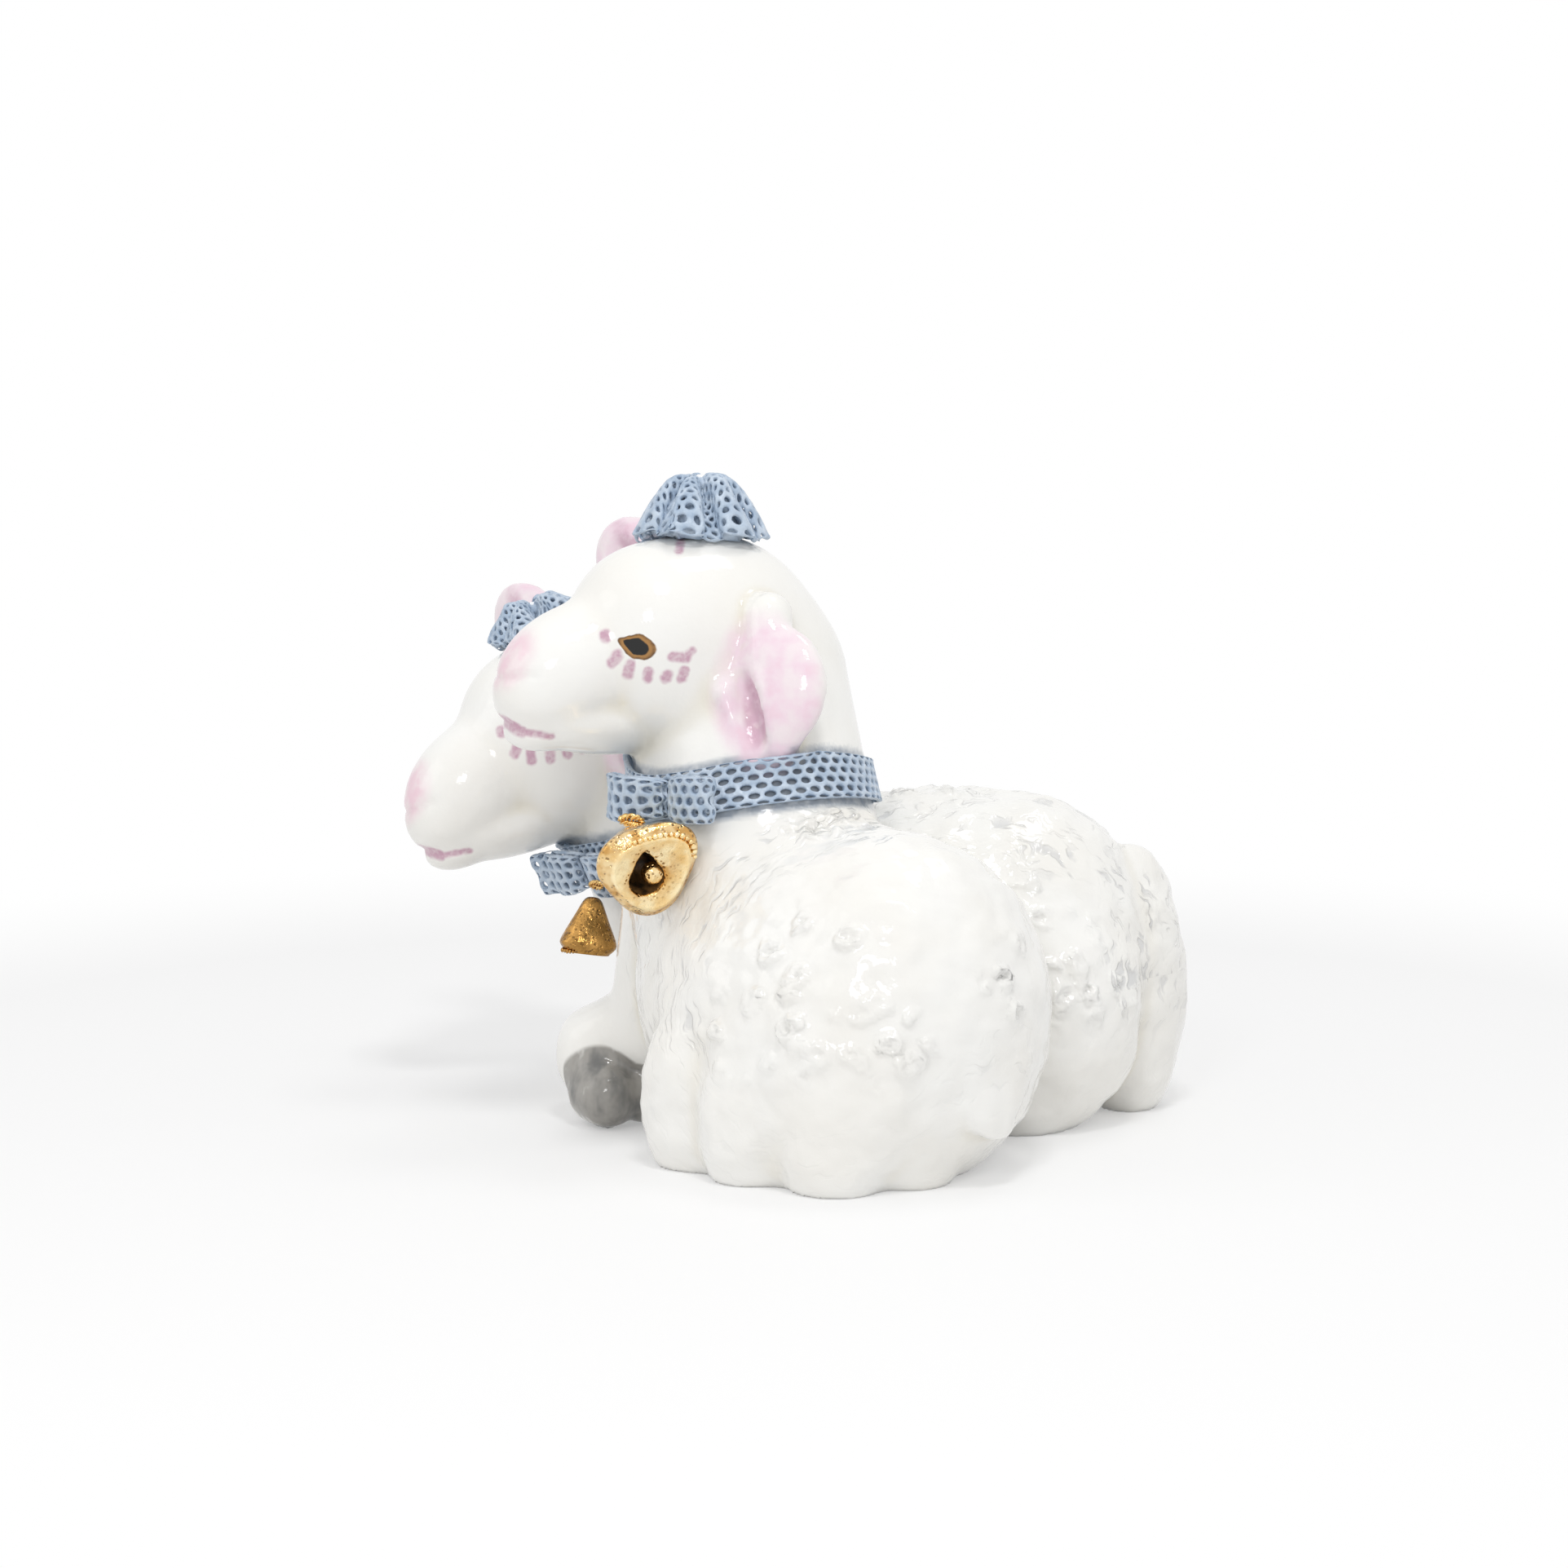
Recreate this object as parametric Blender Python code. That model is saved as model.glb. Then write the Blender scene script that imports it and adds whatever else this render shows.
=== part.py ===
"""Porcelain figurine of two lambs lying side by side, with lace collars, bows, rosettes and gilded bells.

The lambs are one glazed casting. They are built as clay: rounded lumps and tapered limbs, each pressed
softly into what is there already, and turned into a surface by a Geometry Nodes volume. The lace and the
bells are separate pieces, seated on that surface.

Millimetres are used throughout and turned into metres at the end. +Z is up, and the figurine stands on
Z = 0.
"""

import math
from collections import namedtuple

import bmesh
import bpy
from mathutils import Euler, Matrix, Vector
from mathutils.bvhtree import BVHTree

MM = 0.001

# From the place the lambs are modelled in to the middle of their footprint
STAND_SHIFT = (0.5, -4.7, 0.0)
FOOT_SNAP = 0.2

# Where each lamb lies: the middle of its barrel on the ground, and the way it faces, from +X
FRONT_SPOT = (5.0, -19.0)
FRONT_HEADING = 135.0
REAR_SPOT = (19.2, 13.0)
REAR_HEADING = 170.0

# Head: the middle of the skull, the way it faces, how far the nose is dropped and how far it leans to its
# left
FRONT_HEAD = (-13.0, 1.0, 70.0)
FRONT_LOOK = 208.0
FRONT_NOD = 0.0
FRONT_LEAN = 0.0
REAR_HEAD = (-30.6, 35.5, 54.2)
REAR_LOOK = 205.0
REAR_NOD = 15.0
REAR_LEAN = 8.0

# Clay
CLAY_CELL = 0.9
CLAY_MARGIN = 4.0
BODY_FACES = 5400
FOOT_ROUND = 0.8

Ball = namedtuple("Ball", "name centre radii turn blend")
Limb = namedtuple("Limb", "name start end start_radius end_radius blend")
Hollow = namedtuple("Hollow", "name centre radii turn blend")

# Trunk of a lamb: x towards its chest, y to its left, z up
TRUNK = (
    Ball("barrel", (0, 0, 20), (29.5, 22.5, 25), (0, 0, 0), 6),
    Ball("rump", (-13, 0, 21), (17.5, 20, 23), (0, 0, 0), 6),
    Ball("tail", (-25.4, 0, 19), (3.6, 6.2, 13.5), (0, 18, 0), 2.2),
)

# The fleece falls in lobes around the foot of the front lamb, placed as the trunk is
FRONT_LOBES = (
    Ball("shoulders", (15, -1, 25), (15.5, 16, 21), (0, 0, 0), 7),
    Ball("breast", (23, -3, 24), (8, 9, 16), (0, 0, 0), 5),
    Ball("left_haunch", (-10, 12, 15), (16, 12, 19), (0, 0, 6), 3),
    Ball("lobe_a", (7.4, 17.3, 9), (8.5, 7, 14.5), (0, 0, 30), 2),
    Ball("lobe_b", (-2.8, 18.5, 8), (6.5, 7, 14), (0, 0, 0), 2),
    Ball("lobe_c", (-14.8, 15.4, 9), (7.5, 7.5, 15.5), (0, 0, -40), 1.8),
    Ball("lobe_d", (-19, 5.5, 8), (6.5, 7.5, 13), (0, 0, 0), 2),
    Ball("right_haunch", (-8, -11, 15), (15, 11, 18), (0, 0, -6), 3),
)

# The rear lamb shows its left haunch as one round mass, with the rump and the far haunch beyond it
REAR_LOBES = (
    Ball("shoulders", (17, -3, 21), (17, 15, 19), (0, 0, 0), 7),
    Ball("breast", (33, -9, 20), (12, 12, 15), (0, 0, 0), 6),
    Ball("left_haunch", (-15, 9.5, 16.5), (15, 13, 18.5), (0, 0, 0), 1.8),
    Ball("left_foot", (-13, 13, 5), (9, 8.5, 8), (0, 0, 0), 3),
    Ball("left_flank", (6, 13, 10), (9, 7, 13), (0, 0, 0), 3),
    Ball("tail_side", (-27, -4, 17), (8, 9.5, 20), (0, 0, 0), 1.8),
    Ball("right_haunch", (-16, -14, 16), (16, 12, 19), (0, 0, -8), 3),
    Ball("right_flank", (8, -15, 10), (10, 7, 14), (0, 0, 0), 3),
)

# Folded forelegs, in the trunk's frame, for the left side
FRONT_FORELEGS = (
    Limb("left_forearm", (28, 3.5, 32), (31.5, 4.5, 13), 6.8, 5.8, 1.8),
    Limb("left_knee", (39.5, 7, 10.5), (36, 6, 13), 5.6, 5.0, 3),
    Limb("left_cannon", (39.5, 7.5, 8), (34.5, 9, 5.2), 5.2, 4.6, 2),
    Limb("left_hoof", (35.2, 8.9, 4.9), (33.0, 9.6, 4.7), 4.9, 4.7, 0.5),
    Limb("right_forearm", (24, -8, 28), (32, -6, 12), 7.5, 5.5, 3),
    Limb("right_knee", (40, -5, 10), (38, -5, 9), 5.5, 5.2, 3),
    Limb("right_cannon", (38, -4, 6), (30, 2.6, 4.8), 4.8, 4.5, 2),
    Limb("right_hoof", (30, 2.6, 4.7), (28.4, 4.6, 4.6), 4.7, 4.5, 0.5),
)
REAR_FORELEGS = (
    Limb("left_forearm", (30, -1, 24), (36, -1, 12), 7.0, 5.5, 3),
    Limb("left_knee", (41, -1, 9.5), (38, -1, 11), 5.4, 5.0, 3),
    Limb("left_cannon", (41, -1, 7), (35, 1, 5), 5.0, 4.6, 2),
    Limb("left_hoof", (35, 1, 4.7), (33, 1.6, 4.6), 4.8, 4.6, 0.5),
    Limb("right_forearm", (30, -13, 24), (36, -13, 12), 7.0, 5.5, 3),
    Limb("right_knee", (41, -13, 9.5), (39, -13, 10), 5.4, 5.2, 3),
    Limb("right_cannon", (41, -13, 6), (35, -15, 4.8), 4.9, 4.5, 2),
    Limb("right_hoof", (35, -15, 4.7), (33, -15.6, 4.6), 4.7, 4.5, 0.5),
)

# Head: x towards the nose, y to the lamb's left, z up, from the middle of the skull
HEAD = (
    Ball("skull", (0, 0, -3.2), (16.2, 13.5, 15), (0, 0, 0), 4),
    Ball("forehead", (8, 0, -1.5), (11.5, 12, 12.2), (0, 0, 0), 4),
    Ball("cheeks", (5, 0, -8.5), (13, 11.5, 9.5), (0, 0, 0), 4),
    Ball("snout", (19.3, 0, -5.7), (12, 8, 8.7), (0, 22, 0), 3.5),
    Ball("jaw", (15, 0, -12.6), (13.6, 7.2, 5.0), (0, -3, 0), 1.2),
)

# Ear: x from root to tip, y across the leaf, z out of its open face
EAR_LENGTH = 19.0
EAR_WIDTH = 15.5
EAR_THICK = 6.5
EAR_BLEND = 1.0
LAMBS_BLEND = 1.2

Piece = namedtuple("Piece", "frame shape")
Group = namedtuple("Group", "pieces blend")


def frame_at(spot, heading, height=0.0, nod=0.0, lean=0.0):
    """A frame at spot, with x turned to heading from +X, then dropped by nod and rolled by lean."""
    turn = Matrix.Rotation(math.radians(heading), 4, "Z")
    drop = Matrix.Rotation(math.radians(nod), 4, "Y")
    roll = Matrix.Rotation(math.radians(lean), 4, "X")
    return Matrix.Translation((spot[0], spot[1], height)) @ turn @ drop @ roll


def ear_frame(root, along, out):
    """A frame at the ear's root, with x towards the tip and z out of its open face."""
    x = Vector(along).normalized()
    y = Vector(out).cross(x).normalized()
    z = x.cross(y)
    turned = Matrix((x, y, z)).transposed().to_4x4()
    return Matrix.Translation(root) @ turned


def ear_shapes():
    """A leaf on a stem, with a hollow down its open face."""
    half = EAR_LENGTH / 2
    deep = EAR_THICK * 0.7
    return (
        Ball("leaf", (half, 0, 0), (half, EAR_WIDTH / 2, EAR_THICK / 2), (0, 0, 0), 1.5),
        Limb("stem", (0, 0, 0), (4, 0, 0), 3.0, 3.0, 3),
        Hollow("dish", (half * 1.1, -1.6, deep), (half * 0.84, EAR_WIDTH * 0.31, deep), (0, 0, 0), 1.0),
    )


FRONT_EARS = (
    ((-3.0, 12.5, 0.4), (0.08, 0.38, -1.0), (0.86, 0.50, 0.1)),
    ((-2.5, -11.5, -0.5), (0.24, -0.74, 0.56), (0.9, 0.4, 0.2)),
)
REAR_EARS = (
    ((-4.0, 12.5, 1.5), (0.08, 0.40, -1.0), (0.88, 0.47, 0.1)),
    ((-2.5, -11.0, -1.0), (0.1, -0.6, 0.8), (0.9, 0.4, 0.2)),
)


FRONT_NECK = ((15, 0, 36), 17.5, 14.5)
REAR_NECK = ((35, -9, 28), 15.0, 13.8)


def lamb_clay(trunk, lumps, neck, skull, ears):
    """Every lump of one lamb, each with the frame that it is placed in."""
    clay = [Piece(trunk, shape) for shape in TRUNK + lumps]
    nape = trunk.inverted() @ (skull @ Vector((-6, 0, -9)))
    clay.append(Piece(trunk, Limb("neck", neck[0], tuple(nape), neck[1], neck[2], 5)))
    clay += [Piece(skull, shape) for shape in HEAD]
    for root, along, out in ears:
        frame = skull @ ear_frame(root, along, out)
        leaf = [Piece(frame, shape) for shape in ear_shapes()]
        clay.append(Group(leaf, EAR_BLEND))
    return clay


class Nodes:
    """A Geometry Nodes tree that is filled one node at a time."""

    def __init__(self, name):
        self.tree = bpy.data.node_groups.new(name, "GeometryNodeTree")
        self.tree.interface.new_socket("Geometry", in_out="OUTPUT", socket_type="NodeSocketGeometry")

    def add(self, kind, inputs, output=0, **settings):
        node = self.tree.nodes.new(kind)
        for key, value in settings.items():
            setattr(node, key, value)
        for key, value in inputs.items():
            if isinstance(value, bpy.types.NodeSocket):
                self.tree.links.new(value, node.inputs[key])
            else:
                node.inputs[key].default_value = value
        return node.outputs[output]

    def math(self, operation, *values):
        return self.add("ShaderNodeMath", dict(enumerate(values)), operation=operation)

    def vector(self, operation, *values):
        output = "Value" if operation in ("LENGTH", "DOT_PRODUCT") else "Vector"
        return self.add("ShaderNodeVectorMath", dict(enumerate(values)), output, operation=operation)


def in_frame(nodes, place, frame, turn=(0, 0, 0)):
    """The place seen from a frame: moved to its origin, then turned back."""
    spun = frame @ Euler([math.radians(a) for a in turn]).to_matrix().to_4x4()
    moved = nodes.vector("SUBTRACT", place, tuple(spun.to_translation()))
    inputs = {"Vector": moved, "Rotation": tuple(spun.to_euler("XYZ"))}
    return nodes.add("ShaderNodeVectorRotate", inputs, rotation_type="EULER_XYZ", invert=True)


def ball_distance(nodes, place, frame, ball):
    """About how far the place is outside the ball's surface, and negative inside it."""
    local = in_frame(nodes, place, frame @ Matrix.Translation(ball.centre), ball.turn)
    share = nodes.vector("LENGTH", nodes.vector("DIVIDE", local, tuple(ball.radii)))
    steep = nodes.vector("LENGTH", nodes.vector("DIVIDE", local, tuple(r * r for r in ball.radii)))
    risen = nodes.math("MULTIPLY", share, nodes.math("SUBTRACT", share, 1.0))
    return nodes.math("DIVIDE", risen, nodes.math("MAXIMUM", steep, 1e-4))


def limb_distance(nodes, place, frame, limb):
    """How far the place is outside a tapered limb with round ends."""
    start, end = frame @ Vector(limb.start), frame @ Vector(limb.end)
    axis = end - start
    away = nodes.vector("SUBTRACT", place, tuple(start))
    along = nodes.vector("DOT_PRODUCT", away, tuple(axis / axis.length_squared))
    share = nodes.add("ShaderNodeClamp", {"Value": along})
    nearest = nodes.add("ShaderNodeVectorMath", {0: tuple(axis), "Scale": share}, operation="SCALE")
    gap = nodes.vector("LENGTH", nodes.vector("SUBTRACT", away, nearest))
    growth = limb.end_radius - limb.start_radius
    return nodes.math("SUBTRACT", gap, nodes.math("MULTIPLY_ADD", share, growth, limb.start_radius))


def clay_field(nodes, place, clay):
    """The distance to a heap of clay: each lump is pressed in, or hollowed out, in its turn."""
    field = None
    for lump in clay:
        if isinstance(lump, Group):
            distance, blend, hollow = clay_field(nodes, place, lump.pieces), lump.blend, False
        else:
            measure = limb_distance if isinstance(lump.shape, Limb) else ball_distance
            distance, blend = measure(nodes, place, lump.frame, lump.shape), lump.shape.blend
            hollow = isinstance(lump.shape, Hollow)
        if field is None:
            field = distance
        elif hollow:
            field = nodes.math("SMOOTH_MAX", field, nodes.math("MULTIPLY", distance, -1.0), blend)
        else:
            field = nodes.math("SMOOTH_MIN", field, distance, blend)
    return field


def clay_reach(clay):
    """The lowest and highest corner that the lumps can reach."""
    corners = []
    for lump in clay:
        if isinstance(lump, Group):
            corners += clay_reach(lump.pieces)
            continue
        shape = lump.shape
        if isinstance(shape, Limb):
            places = ((shape.start, shape.start_radius), (shape.end, shape.end_radius))
        else:
            places = ((shape.centre, max(shape.radii)),)
        for centre, radius in places:
            middle, room = lump.frame @ Vector(centre), Vector((radius,) * 3)
            corners += [middle - room, middle + room]
    return Vector(map(min, *corners)), Vector(map(max, *corners))


def clay_object(name, clay, cell):
    """The clay's surface as a mesh object, cut flat where it stands."""
    nodes = Nodes(name + "_clay")
    place = nodes.add("GeometryNodeInputPosition", {})
    field = clay_field(nodes, place, clay)
    height = nodes.add("ShaderNodeSeparateXYZ", {"Vector": place}, "Z")
    field = nodes.math("SMOOTH_MAX", field, nodes.math("MULTIPLY", height, -1.0), FOOT_ROUND)
    low, high = clay_reach(clay)
    low.z = 0.0
    margin = Vector((CLAY_MARGIN,) * 3)
    low, high = low - margin, high + margin
    counts = [math.ceil(side / cell) for side in high - low]
    high = low + Vector(counts) * cell
    volume = nodes.add(
        "GeometryNodeVolumeCube",
        {
            "Density": nodes.math("MULTIPLY", field, -1.0),
            "Background": -CLAY_MARGIN,
            "Min": tuple(low),
            "Max": tuple(high),
            "Resolution X": counts[0],
            "Resolution Y": counts[1],
            "Resolution Z": counts[2],
        },
    )
    skin = nodes.add("GeometryNodeVolumeToMesh", {"Volume": volume, "Threshold": 0.0})
    out = nodes.tree.nodes.new("NodeGroupOutput")
    nodes.tree.links.new(skin, out.inputs[0])
    rough = bpy.data.objects.new(name + "_rough", bpy.data.meshes.new(name + "_rough"))
    bpy.context.scene.collection.objects.link(rough)
    rough.modifiers.new("clay", "NODES").node_group = nodes.tree
    graph = bpy.context.evaluated_depsgraph_get()
    mesh = bpy.data.meshes.new_from_object(rough.evaluated_get(graph))
    bpy.data.objects.remove(rough)
    solid = bpy.data.objects.new(name, mesh)
    bpy.context.scene.collection.objects.link(solid)
    return solid


class Skin:
    """The figurine's outside, for seating pieces on it."""

    def __init__(self, solid):
        corners = [v.co for v in solid.data.vertices]
        self.tree = BVHTree.FromPolygons(corners, [p.vertices for p in solid.data.polygons])

    def reach(self, start, way):
        """How far a ray goes until it meets the skin."""
        distance = self.tree.ray_cast(Vector(start), Vector(way).normalized())[3]
        return 0.0 if distance is None else distance


def upright_frame(origin, axis, ahead):
    """A frame at origin, with z along the axis and x as near as it can be to ahead."""
    z = Vector(axis).normalized()
    y = z.cross(Vector(ahead)).normalized()
    x = y.cross(z)
    return Matrix.Translation(origin) @ Matrix((x, y, z)).transposed().to_4x4()


def swept(frame, turn):
    """The direction at an angle around a frame's z axis."""
    angle = math.radians(turn)
    return frame.to_3x3() @ Vector((math.cos(angle), math.sin(angle), 0.0))


def mesh_object(name, bm):
    """A mesh object from a finished bmesh."""
    bmesh.ops.recalc_face_normals(bm, faces=bm.faces)
    mesh = bpy.data.meshes.new(name)
    bm.to_mesh(mesh)
    bm.free()
    solid = bpy.data.objects.new(name, mesh)
    bpy.context.scene.collection.objects.link(solid)
    return solid


def lace_strip(name, front, back, closed, bar):
    """Lace between two sheets of points: each cell of the grid has a hole through it, and a bar round it."""
    bm = bmesh.new()
    sheets = [[[bm.verts.new(p) for p in row] for row in sheet] for sheet in (front, back)]
    rows, columns = len(front), len(front[0])
    last = columns if closed else columns - 1
    for r in range(rows - 1):
        for c in range(last):
            d = (c + 1) % columns
            inner = []
            for sheet in sheets:
                corners = [sheet[r][c], sheet[r][d], sheet[r + 1][d], sheet[r + 1][c]]
                middle = sum((v.co for v in corners), Vector()) / 4
                ring = []
                for v in corners:
                    away = v.co - middle
                    ring.append(bm.verts.new(middle + away * max(0.25, 1.0 - bar / (0.6 * away.length))))
                for k in range(4):
                    n = (k + 1) % 4
                    bm.faces.new((corners[k], corners[n], ring[n], ring[k]))
                inner.append(ring)
            for k in range(4):
                n = (k + 1) % 4
                bm.faces.new((inner[0][k], inner[0][n], inner[1][n], inner[1][k]))
    for c in range(last):
        d = (c + 1) % columns
        for r in (0, rows - 1):
            bm.faces.new((sheets[0][r][c], sheets[0][r][d], sheets[1][r][d], sheets[1][r][c]))
    if not closed:
        for r in range(rows - 1):
            for c in (0, columns - 1):
                bm.faces.new((sheets[0][r][c], sheets[0][r + 1][c], sheets[1][r + 1][c], sheets[1][r][c]))
    return mesh_object(name, bm)


COLLAR_COLUMNS = 26
COLLAR_ROWS = 3
COLLAR_WIDTH = 5.9
COLLAR_GAP = 0.65
LACE_THICK = 0.9
LACE_BAR = 0.45

# Collar: its middle, the way it faces along the neck, the way to the throat, how far the skin can be, how
# much it rises twice around the neck, where around it the bow is, and how much the bow droops
Band = namedtuple("Band", "middle axis throat limit rise bow_turn bow_droop")

FRONT_COLLAR = Band(
    middle=(-7.4, -2.2, 49.3),
    axis=(0.0, 0.0, 1.0),
    throat=(-0.883, -0.469, 0.0),
    limit=20.0,
    rise=1.9,
    bow_turn=24.5,
    bow_droop=0.0,
)
REAR_COLLAR = Band(
    middle=(-19.5, 31.0, 37.2),
    axis=(-0.38, -0.05, 0.92),
    throat=(-0.88, -0.47, 0.0),
    limit=22.0,
    rise=0.0,
    bow_turn=12.0,
    bow_droop=-0.8,
)


def collar_reach(skin, band, turn, height):
    """A place on a collar's axis, the way out from it, and how far the skin is that way."""
    frame = upright_frame(band.middle, band.axis, band.throat)
    start = frame @ Vector((0.0, 0.0, height - band.rise * math.cos(2 * math.radians(turn))))
    way = swept(frame, turn)
    return start, way, min(skin.reach(start, way), band.limit)


def collar(name, skin, band):
    """A band of lace around the neck, that follows the skin with a small gap."""
    front, back = [], []
    for r in range(COLLAR_ROWS + 1):
        height = COLLAR_WIDTH * (r / COLLAR_ROWS - 0.5)
        outer, inner = [], []
        for c in range(COLLAR_COLUMNS):
            turn = 360 * c / COLLAR_COLUMNS
            start, way = collar_reach(skin, band, turn, height)[:2]
            distance = max(collar_reach(skin, band, turn + near, height)[2] for near in (-5, 0, 5))
            inner.append(start + way * (distance + COLLAR_GAP))
            outer.append(start + way * (distance + COLLAR_GAP + LACE_THICK))
        front.append(outer)
        back.append(inner)
    return lace_strip(name, front, back, True, LACE_BAR)


BOW_HALF = 9.2
BOW_COLUMNS = 8
BOW_ROWS = 3
BOW_HEIGHT = 2.9
BOW_PINCH = 0.5
BOW_LIFT = 0.8
BOW_PUFF = 1.4
BOW_GIVE = 2.9


def bow(name, skin, band):
    """A length of lace pinched at its middle, lying over the collar at the throat."""
    turn, droop = band.bow_turn, band.bow_droop
    near = collar_reach(skin, band, turn, 0.0)[2]
    radius = near + COLLAR_GAP + LACE_THICK
    front = [[] for r in range(BOW_ROWS + 1)]
    back = [[] for r in range(BOW_ROWS + 1)]
    for c in range(BOW_COLUMNS + 1):
        u = 2 * c / BOW_COLUMNS - 1
        around = turn + math.degrees(u * BOW_HALF / (radius + BOW_LIFT))
        heights = [v * COLLAR_WIDTH / 2 + lower for v in (-1, 0, 1) for lower in (0.0, droop * u)]
        reach = min(near + BOW_GIVE, max(collar_reach(skin, band, around, height)[2] for height in heights))
        full = BOW_PINCH + (1 - BOW_PINCH) * math.sin(min(1.0, abs(u) * 1.5) * math.pi / 2)
        puff = BOW_PUFF * math.sin(math.pi * min(1.0, abs(u) * 1.15)) ** 2
        for r in range(BOW_ROWS + 1):
            v = 2 * r / BOW_ROWS - 1
            start, way = collar_reach(skin, band, around, v * BOW_HEIGHT * full + droop * u)[:2]
            ruffle = 0.3 * (1 + (-1) ** r) * max(0.0, abs(u) - 0.5)
            distance = reach + COLLAR_GAP + LACE_THICK + BOW_LIFT + puff + ruffle
            back[r].append(start + way * distance)
            front[r].append(start + way * (distance + LACE_THICK))
    return lace_strip(name, front, back, False, LACE_BAR)


ROSETTE_SPOKES = 24
ROSETTE_PLEATS = 6
ROSETTE_GAP = 0.7
ROSETTE_RINGS = ((1.0, 0.0), (1.04, 0.22), (0.93, 0.52), (0.72, 0.79), (0.42, 0.96))


def rosette(name, skin, frame, size, height):
    """A gathered puff of lace on the crown of the head, pleated and pitted, with its underside on the skin."""
    down = frame.to_3x3() @ Vector((0, 0, -1))

    def seat(place):
        start = frame @ Vector((place[0], place[1], 14.0))
        return 14.0 - skin.reach(start, down) + ROSETTE_GAP

    def pleated(turn, share):
        angle = math.tau * turn / ROSETTE_SPOKES
        pleat = math.cos(ROSETTE_PLEATS * angle)
        radius = size * share * (1 + 0.09 * pleat * min(1.0, share * 1.2))
        return radius * math.cos(angle), radius * math.sin(angle), pleat

    base = seat((0.0, 0.0))
    bm = bmesh.new()
    rings = []
    for n, (share, rise) in enumerate(ROSETTE_RINGS):
        ring = []
        for k in range(ROSETTE_SPOKES):
            x, y, pleat = pleated(k, share)
            low = seat((x, y))
            top = base + height * (1 + 0.05 * pleat)
            ring.append(bm.verts.new(frame @ Vector((x, y, low + (top - low) * rise))))
        rings.append(ring)
    crown = bm.verts.new(frame @ Vector((0, 0, base + height * 0.93)))
    under = []
    for k in range(ROSETTE_SPOKES):
        x, y, pleat = pleated(k, 0.5)
        under.append(bm.verts.new(frame @ Vector((x, y, seat((x, y))))))
    middle = bm.verts.new(frame @ Vector((0, 0, base)))
    cells = []
    for k in range(ROSETTE_SPOKES):
        n = (k + 1) % ROSETTE_SPOKES
        for low, high in zip(rings, rings[1:]):
            cells.append(bm.faces.new((low[k], low[n], high[n], high[k])))
        bm.faces.new((rings[-1][k], rings[-1][n], crown))
        bm.faces.new((rings[0][n], rings[0][k], under[k], under[n]))
        bm.faces.new((under[n], under[k], middle))
    bm.normal_update()
    bmesh.ops.inset_individual(bm, faces=cells, thickness=0.38, depth=-0.5, use_even_offset=True)
    return mesh_object(name, bm)


BELL_STEPS = 24
BELL_PROFILE = (
    (0.0, 0.0),
    (1.5, 0.15),
    (2.3, 0.9),
    (3.0, 2.6),
    (4.4, 5.2),
    (5.7, 7.4),
    (6.2, 8.2),
    (6.0, 8.8),
    (2.9, 8.6),
)
BELL_HOLLOW = ((2.5, 8.0), (2.2, 5.2), (1.4, 3.8), (0.0, 3.5))
BALL_RADIUS = 1.25
BALL_SEAT = 5.6
LOOP_RADIUS = 1.1
LOOP_TUBE = 0.45


def revolved(name, frame, profile, steps, squash=0.0):
    """A solid turned around a frame's z axis, with a faintly three-sided section where squash is given."""
    bm = bmesh.new()
    rings = []
    for radius, height in profile:
        if radius == 0.0:
            rings.append([bm.verts.new(frame @ Vector((0, 0, height)))])
            continue
        ring = []
        for k in range(steps):
            angle = math.tau * k / steps
            wide = radius * (1 + squash * math.cos(3 * angle) * radius / 6.0)
            place = Vector((wide * math.cos(angle), wide * math.sin(angle), height))
            ring.append(bm.verts.new(frame @ place))
        rings.append(ring)
    for low, high in zip(rings, rings[1:]):
        for k in range(steps):
            n = (k + 1) % steps
            corners = [low[k % len(low)], low[n % len(low)], high[n % len(high)], high[k % len(high)]]
            bm.faces.new(list(dict.fromkeys(corners)))
    return mesh_object(name, bm)


def bell(name, frame, size):
    """A thick bell with its crown at the frame's origin and its mouth along z, and the ball inside it."""
    frame = frame @ Matrix.Scale(size, 4)
    revolved(name, frame, BELL_PROFILE + BELL_HOLLOW, BELL_STEPS, 0.07)
    ball = [(0.0, BALL_SEAT - BALL_RADIUS)]
    for k in range(1, 6):
        angle = math.pi * k / 6
        ball.append((BALL_RADIUS * math.sin(angle), BALL_SEAT - BALL_RADIUS * math.cos(angle)))
    ball.append((0.0, BALL_SEAT + BALL_RADIUS))
    revolved(name + "_clapper", frame, ball, 12)


def loop(name, frame):
    """A ring of gilt clay standing on the bell's crown."""
    bm = bmesh.new()
    rings = []
    for k in range(14):
        angle = math.tau * k / 14
        out = Vector((math.cos(angle), 0, math.sin(angle)))
        ring = []
        for m in range(7):
            spin = math.tau * m / 7
            place = out * (LOOP_RADIUS + LOOP_TUBE * math.cos(spin))
            ring.append(bm.verts.new(frame @ (place + Vector((0, LOOP_TUBE * math.sin(spin), 0)))))
        rings.append(ring)
    for k in range(14):
        low, high = rings[k], rings[(k + 1) % 14]
        for m in range(7):
            n = (m + 1) % 7
            bm.faces.new((low[m], low[n], high[n], high[m]))
    return mesh_object(name, bm)


# Bell: its crown, the way its mouth points, its size beside the profile, and the middle of its loop
Hung = namedtuple("Hung", "crown mouth size loop")

FRONT_BELL = Hung(crown=(-22.6, -19.8, 43.0), mouth=(0.33, -0.83, -0.33), size=1.1, loop=(-22.3, -20.5, 46.6))
REAR_BELL = Hung(crown=(-27.6, 12.2, 29.8), mouth=(-0.05, -0.12, -1.0), size=0.9, loop=(-27.6, 11.8, 31.8))
BELL_AHEAD = (0.3, -0.3, -0.9)

# Rosette: how far forward and to the left of the middle of the skull it sits, its radius and its height
Puff = namedtuple("Puff", "forward left radius height")

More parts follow.
